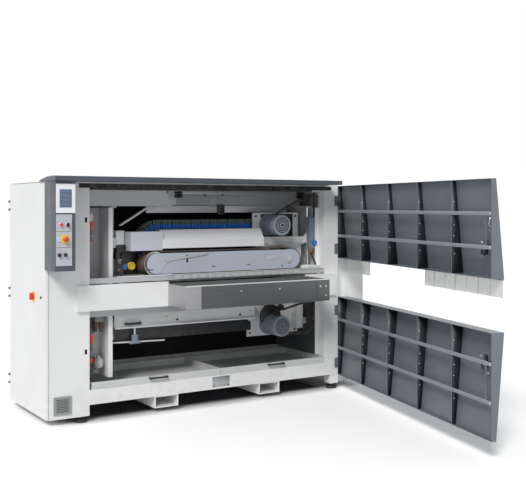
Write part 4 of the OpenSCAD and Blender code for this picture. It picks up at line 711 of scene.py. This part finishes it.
# %% Fittings' finishes
signal_yellow = finish("signal_yellow", moulded, rgb(248, 208, 24), Depth=0.05, Dust=0.05, Gloss=0.3,
                       Coat_Weight=0.2)
signal_blue = finish("signal_blue", moulded, rgb(40, 130, 214), Depth=0.05, Dust=0.05, Gloss=0.25,
                     Coat_Weight=0.4)
copper = finish("copper", brushed, rgb(196, 116, 70), Grain=(300.0, 300.0, 20.0), Contrast=0.3, Gloss=0.3,
                Metallic=0.9)
satin = finish("satin_steel", brushed, rgb(212, 214, 217), Contrast=0.25, Gloss=0.42, Metallic=0.3)
black_metal = finish("black_metal", moulded, rgb(26, 27, 30), Depth=0.2, Dust=0.1, Gloss=0.35)


def black(name, shapes, body=FIXED):
    """A piece of black metal or plastic."""
    return piece(name, shapes, body, black_metal)


print("finishes", len(bpy.data.materials))

# %% [markdown]
# The header shows a bright lip above, a flange with a gap below, four small clamps at each end and a
# bracket with two bolts. All of them lie a hair in front of its face, as folded edges and screwed parts
# do.

# %% Header
header_y, flange_y = (0.412, 0.4195), (0.400, 0.4195)
piece("header_lips", [block((1.36, 2.70), header_y, (1.862, 1.888)),
                      block((1.05, 1.772), flange_y, (1.69, 1.752)),
                      block((1.854, 2.55), flange_y, (1.69, 1.752))], FIXED, satin)
clamp, clamp_pitch = (0.032, 0.034), 0.04
black("header_clamps", [block((x + clamp_pitch * i, x + clamp_pitch * i + clamp[0]), (0.385, 0.412),
                              (z, z + clamp[1])) for x in (1.331, 2.681) for i in (0, 1)
                        for z in (1.826, 1.864)] + [block((1.776, 1.85), (0.392, 0.42), (1.672, 1.762))])
black("header_bolts", bolts([(1.65, header_y[1], 1.85), (1.84, header_y[1], 1.856)], FRONT, 0.011, 0.008))
piece("header_bracket", block((1.70, 1.80), header_y, (1.775, 1.835)), FIXED, grey_paint)
brace = [(0.71, 0.2, 1.588), (0.83, 0.21, 1.655), (0.969, 0.22, 1.737)]
flat = [(-0.006, -0.02), (0.006, -0.02), (0.006, 0.02), (-0.006, 0.02)]
piece("slanted_bar", carried(flat, brace, BACK), FIXED, satin)
print("header and brace")

# %% [markdown]
# Left of the unit, a white bracket, a dark block and a dark plate carry two gauges. A gauge is one turned
# profile with a raised rim; the blue one on the terminal box is the same profile, made smaller.

# %% Wall fittings
piece("left_bracket", [block((0.671, 0.748), (0.19, 0.30), (1.421, 1.541)),
                       block((0.651, 1.112), (0.018, 0.0395), (1.1605, 1.166)),
                       block((2.502, 2.712), (0.06, 0.15), (1.1605, 1.19))],
      FIXED, white_paint)
black("left_block", [block((0.670, 0.778), (0.17, 0.27), (1.357, 1.4195)),
                     block((0.69, 0.72), (0.165, 0.17), (1.375, 1.405)),
                     block((0.742, 0.899), (0.235, 0.243), (1.162, 1.356))])


def gauge(base, size):
    """A gauge with a raised rim: its profile's radii times size."""
    profile = [(0, 0.027), (0.022, 0.027), (0.026, 0.024), (0.026, 0.018), (0.022, 0.016)]
    return turned(base, FRONT, [(d, size * r) for d, r in profile])


piece("yellow_gauge", gauge((0.826, 0.235, 1.236), 1.3), FIXED, signal_yellow)
piece("blue_gauges", [gauge((0.760, 0.235, 1.231), 1), gauge((2.676, 0.108, 1.401), 0.85)], FIXED,
      signal_blue)
piece("copper_ends", [turned((2.63, 0.128, 1.342), DOWN, [(0, 0.009), (0.03, 0.009), (0.03, 0.006),
                                                          (0.045, 0.006)], 12),
                      turned((2.655, 0.128, 1.342), DOWN, [(0, 0.007), (0.04, 0.007)], 12)],
      FIXED, copper)
piece("left_cables", [tube([(0.66 + 0.010 * i, 0.16, 1.362), (0.655 + 0.011 * i, 0.13, 1.29),
                            (0.668 + 0.008 * i, 0.10, 1.20), (0.672 + 0.007 * i, 0.08, 1.155)], 0.0045)
                      for i in range(4)], FIXED, rubber)
corners = np.array([(1.165, 1.762), (1.345, 1.762), (1.345, 1.918), (1.30, 1.918)])
rings = np.stack([np.insert(corners, 1, y, axis=1) for y in (0.404, 0.4065, 0.4185, 0.4195)])
piece("duct_end_plate", skinned(rings), FIXED, white_paint)
print("wall fittings")

# %% [markdown]
# The motor's lead goes from the moving unit to the fixed frame. It could be drawn again as a tube, but the
# frame has its exact shape, so a copy of that mesh takes its place.

# %% Motor lead
lead = shown("motor_lead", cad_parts["motor_cable"].data.copy())
lead.data.materials.clear()
lead.data.materials.append(rubber)
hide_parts("motor_cable")
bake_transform(lead)
print("lead bends between", UNIT, "and", FIXED)

# %% [markdown]
# The guide bar in front of the belt is cut in short lengths, so that a worn one can be changed alone. The
# motor's plate has its screws and a black block behind the motor as painted shadow, and both motors get the
# rings of their fan cowls: discs, each a little further out and smaller than the last, in turns light and
# dark.

# %% Guide bar and motors
guide_y = (0.0015, 0.0039)
edges = np.linspace(1.138, 2.449, 17)
piece("guide_segments", [block((a + 0.001, b - 0.001), guide_y, (1.121, 1.157), 0.0008)
                         for a, b in zip(edges[:-1], edges[1:])], FIXED, satin)
piece("guide_lip", block((0.604, 2.70), (-0.002, guide_y[1]), (1.1605, 1.1655)), FIXED, white_paint)
PLATE_Y = 0.284
black("plate_bolts", bolts([(x, PLATE_Y, z) for x in (2.125, 2.575) for z in (1.39, 1.655)]
                           + [(2.35, PLATE_Y, 1.665)], FRONT, 0.011, 0.008), UNIT)
# A black block on the motor's plate behind the upper motor: painted shadow.
black("motor_plate_shadow", block((2.182, 2.545), (0.280, 0.2838), (1.424, 1.676)), UNIT)
piece("unit_rail", block((2.205, 2.62), (0.19, 0.21), (1.384, 1.4)), UNIT, satin)
motors = {"upper": (UNIT, 1.573), "lower": (FIXED, 0.632)}
for tone, material, radii in (("light", motor_paint, (0.082, 0.064, 0.047, 0.03)),
                              ("dark", black_metal, (0.073, 0.0555, 0.0385, 0.014))):
    for side, (body, z) in motors.items():
        cowl = (2.262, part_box(side + "_motor")[0][1] - CORNER[1] + 0.0004, z)
        discs = [turned(cowl, FRONT, [(0, r), (0.10 * (0.0822 - r) + 0.0012, r)], 40) for r in radii]
        piece(f"{side}_grille_{tone}", discs, body, material)
print("segments", len(edges) - 1)

# %% [markdown]
# The belt cover has slots, a latch plate and screws. A dark rim round its two discs parts it from the belt.

# %% Marks on the belt cover
cover_y, disc_y, COVER = (0.0435, 0.0462), (0.0395, 0.0422), 0.0462
marks = [((1.266, 1.282), cover_y, (1.262, 1.326)), ((0.905, 0.945), disc_y, (1.206, 1.214)),
         ((1.52, 1.556), cover_y, (1.214, 1.220)), ((1.888, 1.922), cover_y, (1.216, 1.222)),
         ((2.33, 2.366), disc_y, (1.216, 1.222)), ((2.26, 2.275), cover_y, (1.19, 1.205))]
black("cover_marks", [block(*mark) for mark in marks], UNIT)
screws = [(1.345, COVER, 1.289), (1.70, COVER, 1.30), (1.95, COVER, 1.27)]
piece("cover_latches", [turned((2.36, 0.042, 1.267), FRONT, [(0, 0.03), (0.004, 0.03), (0.006, 0.026)]),
                        block((2.10, 2.23), (0.0425, COVER), (1.264, 1.29)),
                        *bolts(screws, FRONT, 0.007, 0.004)], UNIT, satin)
black("cover_rim", [turned((x, COVER, 1.258), BACK, [(0, 0.0893), (0.0076, 0.0893)], 48)
                    for x in (0.98, 2.38)], UNIT)
print("cover marked")

# %% [markdown]
# ## Doors
# Each door is a welded pan with ribs. Fitters' traces make it real: screws in the ribs, light bolts where
# the bars end, a hook for the open door, and knobs on the latch rods. All ride on their door and turn
# with it.

# %% Hardware on the doors
FREE = 0.2545
BARS = {"upper_door": (1.7015, 1.4669), "lower_door": (0.6660, 0.3978)}
RIBS = (0.777, 1.300, 1.823, 2.346)
for door, dots in (("upper_door", (1.785, 1.612, 1.532, 1.40)), ("lower_door", (0.76, 0.58, 0.50, 0.33))):
    spots = [(x - 0.002, -0.0215 - 0.004 * (k % 2), z) for x in RIBS for k, z in enumerate(dots)]
    piece(door + "_screws", bolts(spots, (-1, 0, 0), 0.0048, 0.003), door, satin)
    spots = [(FREE + 0.018, -0.0045, z) for z in BARS[door]]
    piece(door + "_bolts", bolts(spots, BACK, 0.0085, 0.0032, 12), door, light_plastic)
hook = tube([(0.285, -0.013, 1.672), (0.282, -0.0095, 1.655), (0.292, -0.010, 1.638), (0.302, -0.013, 1.628),
             (0.288, -0.015, 1.618), (0.276, -0.012, 1.606)], 0.0042)
piece("door_hook", [hook, *bolts([(0.284, -0.0135, 1.585)], BACK, 0.006, 0.004)], "upper_door", bright_steel)
knob = [(0, 0.012), (0.012, 0.012), (0.014, 0.024), (0.030, 0.024), (0.034, 0.018)]
KNOBS = {"upper": (1.432, [(0.392, -0.016, 1.502), (0.378, -0.016, 1.498), (0.395, -0.02, 1.436),
                           (0.388, -0.02, 1.408)]),
         "lower": (0.63, [(0.398, -0.016, 0.705), (0.395, -0.016, 0.628), (0.30, -0.0095, 0.60)])}
for side, (z, spots) in KNOBS.items():
    door = side + "_door"
    black(side + "_knob", turned((0.372, -0.0400, z), BACK, knob), door)
    piece(side + "_knob_bolts", bolts(spots, BACK, 0.0065, 0.005), door, light_plastic)
print("doors fitted")

# %% [markdown]
# The doors' bars and ribs catch the light on their faces and edges, so these get thin strips of paler paint
# as painted highlights. The ribs' sides towards the free edge lie in shade, and thin near-black pads on them
# are painted shade; their outline follows the door's wedge: a polygon carried through the pad's thickness.

# %% Painted highlights and shade pads of the doors
# Paler paint on the faces and edges of the doors' bars and ribs: painted highlights.
face_highlight_paint = finish("face_highlight_paint", coat, rgb(138, 146, 153), Drift=0.3, Soil=0.0, Peel=0.1)
edge_highlight_paint = finish("edge_highlight_paint", coat, rgb(176, 184, 190), Drift=0.2, Soil=0.0, Peel=0.1)
shade_paint = finish("shade_paint", coat, rgb(36, 40, 45), Drift=0.5, Soil=0.0, Peel=0.1)
PAN_X = (0.2565, 2.8665)
for door, heights in (("upper_door", (1.2545, 1.9415)), ("lower_door", (0.1385, 0.8805))):
    faces = [block(PAN_X, (-0.0045, -0.0034), (z - 0.0132, z + 0.0105), 0.0004) for z in BARS[door]]
    faces += [block((x - 0.0021, x + 0.0021), (-0.0044, -0.0036), heights, 0.0003) for x in RIBS]
    piece(door + "_bar_face_highlights", faces, door, face_highlight_paint)
    lines = [block(PAN_X, (-0.0060, -0.0032), (z + 0.0105, z + 0.0134), 0.0006) for z in BARS[door]]
    piece(door + "_bar_edge_highlights", lines, door, edge_highlight_paint)
# Near-black pads on the ribs' sides towards the free edge: painted shade.
SHADE_PAD_Y = -0.0050
for door, (z0, z1), (t0, t1) in (("upper_door", (1.2565, 1.9395), (0.098, 0.0346)),
                                 ("lower_door", (0.1405, 0.8785), (0.0346, 0.098))):
    wedge = np.array([(SHADE_PAD_Y, z0), (SHADE_PAD_Y - t0, z0), (SHADE_PAD_Y - t1, z1), (SHADE_PAD_Y, z1)])
    shade_pads = [skinned(np.stack([np.insert(wedge, 0, px, axis=1) for px in (x - 0.0018, x - 0.0030)]))
            for x in (*RIBS, PAN_X[1])]
    piece(door + "_rib_shade_pads", shade_pads, door, shade_paint, sharp=False)
print("edges and pads")

# %% [markdown]
# Clear strips of soft plastic hang from the upper door and close the gap above the feed belt. Each is a
# thin bent sheet, so its outline is an arc with a thickness. It sways a little, and neighbours overlap
# like tiles.


# %% Strip curtain
def strip(x, y, z, bulge, sway, thick=0.002):
    """A bent sheet: in plan an arc y + bulge (1 - u^2), carried down; it leans by sway t^2 on its way."""
    columns, rows = 9, 7
    u = np.linspace(-1, 1, columns)
    t = np.linspace(0, 1, rows)
    across = np.concatenate([u, u[::-1]])
    back = np.concatenate([np.zeros(columns), np.full(columns, thick)])
    px = (x[0] + x[1]) / 2 + (x[1] - x[0]) / 2 * across
    py = y + bulge * (1 - across ** 2) + back
    ring = np.stack([px, py], -1)[None] * np.ones((rows, 1, 1))
    ring[..., 1] += (sway * t ** 2)[:, None]
    height = np.broadcast_to((z[1] - (z[1] - z[0]) * t)[:, None, None], (rows, 2 * columns, 1))
    return skinned(np.concatenate([ring, height], -1))


GROUPS = ((FREE, 1.339, 7), (2.346, 2.8685, 4))
lap = 0.004
strips = []
for low, high, count in GROUPS:
    pitch = (high - low) / count
    for i in range(count):
        strips.append(strip((low + i * pitch - lap * (i > 0), low + (i + 1) * pitch + lap * (i < count - 1)),
                            -0.0985 + 0.003 * (i % 2), (1.1185 + 0.002 * math.sin(3.1 * i), 1.246),
                            -0.003, 0.004 * math.sin(2.3 * i + 1)))
curtain = piece("curtain_strips", strips, "upper_door", clear_strip)
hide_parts("strip_curtain")
piece("curtain_bars", [block((low, high), (-0.106, -0.090), (1.2395, 1.2528)) for low, high, _ in GROUPS],
      "upper_door", grey_plastic)
print("strips", len(strips))

# %% [markdown]
# ## Operator panel
# Buttons of this kind sit in a metal or yellow collar, and two fine lines part their rows. The screen
# shows plain fields without words. All of it stands on the exact plate and bezel.

# %% Collars, lines and screen fields
PANEL = -0.2281
collar = [(0, 0.0205), (0.004, 0.0205), (0.006, 0.0185)]
buttons = ((0.043, 1.606), (0.095, 1.606), (0.026, 1.495))
piece("metal_collars", [turned((x, PANEL, z), FRONT, collar, 36) for x, z in buttons], FIXED, bright_steel)
piece("stop_collar", turned((0.070, PANEL, 1.495), FRONT, [(0, 0.034), (0.006, 0.034), (0.008, 0.031)], 40),
      FIXED, signal_yellow)
black("plate_lines", [block((0.004, 0.124), (-0.2286, -0.2279), (z - 0.0012, z + 0.0012), 0.0002)
                      for z in (1.555, 1.432)])
field = finish("screen_fields", moulded, rgb(104, 122, 154), Depth=0.0, Dust=0.02, Gloss=0.2)
low, high = (np.array(c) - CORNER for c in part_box("hmi_screen"))
step_x, step_z = 0.024, 0.034
fields = [block((low[0] + 0.006 + step_x * i, low[0] + 0.026 + step_x * i),
                (low[1] - 0.0006, low[1] + 0.0004),
                (low[2] + 0.014 + step_z * k, low[2] + 0.036 + step_z * k), 0.0002)
          for i in range(3) for k in range(4)]
piece("screen_tiles", fields, FIXED, field)
black("panel_shade", block((0.006, 0.122), (-0.2262, -0.2252), (1.6885, 1.697), 0.0003))
print("screen", low.round(3), high.round(3))

# %% [markdown]
# The name plate on the bottom rail stays blank. It is a thin steel plate held by four screws.

# %% Blank name plate
rail = -0.0015
piece("name_plate", block((1.50, 1.674), (rail, 0.0002), (0.153, 0.245), 0.0006), FIXED, stainless)
black("plate_screws", bolts([(x, rail, z) for x in (1.512, 1.662) for z in (0.163, 0.235)], FRONT, 0.006,
                            0.002, 12))
print("name plate done")

# %% [markdown]
# ## Lower room
# Below the conveyor the machine is open for service. The guard has a bright lip, a handle and shade under
# it, and a short shaft, a rod with its clamp and the drive parts beside the motor stand round it. Bought
# parts are turned, the hose is a round outline carried along a smooth line, and plates are eased blocks.

# %% Guard and rod
piece("guard_lip", block((0.642, 2.026), (0.138, 0.1495), (0.711, 0.7265)), FIXED, bezel_white)
black("guard_shade", block((0.66, 2.02), (0.20, 0.206), (0.60, 0.7215)))
handle_z = 0.752
black("guard_handle", tube([(x, y, handle_z) for x, y in ((0.738, 0.152), (0.738, 0.128), (0.76, 0.122),
                                                          (0.848, 0.122), (0.870, 0.128), (0.870, 0.152))],
                           0.0095))
black("guard_marks", [turned((x, 0.1502, 0.757), FRONT, [(0, 0.011), (0.0012, 0.011)], 24)
                      for x in (1.23, 1.874)])
shaft = [(0, 0.014), (0.03, 0.014), (0.03, 0.008), (0.09, 0.008), (0.09, 0.014), (0.12, 0.014)]
black("service_shaft", turned((0.606, 0.11, 0.862), (1, 0, 0), shaft))
black("lower_plate_bolts", bolts([(x, PLATE_Y, z) for x in (2.06, 2.57) for z in (0.555, 0.805)], FRONT,
                                 0.011, 0.008))
piece("guide_rod", tube([(0.604, 0.15, 0.600), (0.85, 0.15, 0.592), (1.106, 0.15, 0.586)], 0.0075), FIXED,
      satin)
piece("rod_clamp", [block((0.775, 0.875), (0.132, 0.168), (0.578, 0.603)),
                    block((0.80, 0.85), (0.134, 0.166), (0.603, 0.655))], FIXED, box_paint)
piece("rod_post", block((0.818, 0.832), (0.143, 0.157), (0.64, 0.728)), FIXED, satin)
print("guard and rod")

# %% [markdown]
# Beside the lower motor there are a hose, a round drive guard with two small caps, and a bearing plate.
# The service compartment on the left holds a box, two bowls and a vessel.

# %% Drive parts and service compartment
piece("lower_hose", tube([(2.33, 0.13, 0.548), (2.443, 0.125, 0.548), (2.576, 0.12, 0.543),
                          (2.655, 0.13, 0.58), (2.688, 0.14, 0.68), (2.692, 0.14, 0.80),
                          (2.692, 0.14, 0.86)], 0.015), FIXED, rubber)
black("drive_guard", [turned((2.27, 0.262, 0.705), FRONT, [(0, 0.112), (0.02, 0.112), (0.026, 0.104)], 40),
                      turned((2.19, 0.21, 0.80), FRONT, [(0, 0.022), (0.03, 0.022), (0.034, 0.016)], 16),
                      turned((2.35, 0.21, 0.79), FRONT, [(0, 0.03), (0.03, 0.03), (0.034, 0.02)], 16)])
piece("drive_cap", turned((2.035, 0.262, 0.745), FRONT, [(0, 0.07), (0.07, 0.07), (0.078, 0.058)], 36),
      FIXED, cover_paint)
piece("bearing_plate", block((2.535, 2.61), (0.20, 0.283), (0.575, 0.845)), FIXED, white_paint)
piece("service_box", block((0.47, 0.55), (0.15, 0.22), (0.785, 0.85)), FIXED, grey_plastic)
bowl = [(0, 0.019), (0.05, 0.019), (0.07, 0.014), (0.085, 0.014)]
piece("service_bowls", [turned((x, 0.19, 0.785), DOWN, bowl, 20) for x in (0.487, 0.533)], FIXED,
      sanding_cloth)
vessel = [(0, 0.020), (0.012, 0.036), (0.04, 0.042), (0.075, 0.036), (0.09, 0.018), (0.11, 0.012)]
piece("service_vessel", turned((0.505, 0.17, 0.395), UP, vessel), FIXED, light_plastic)
print("lower room done")
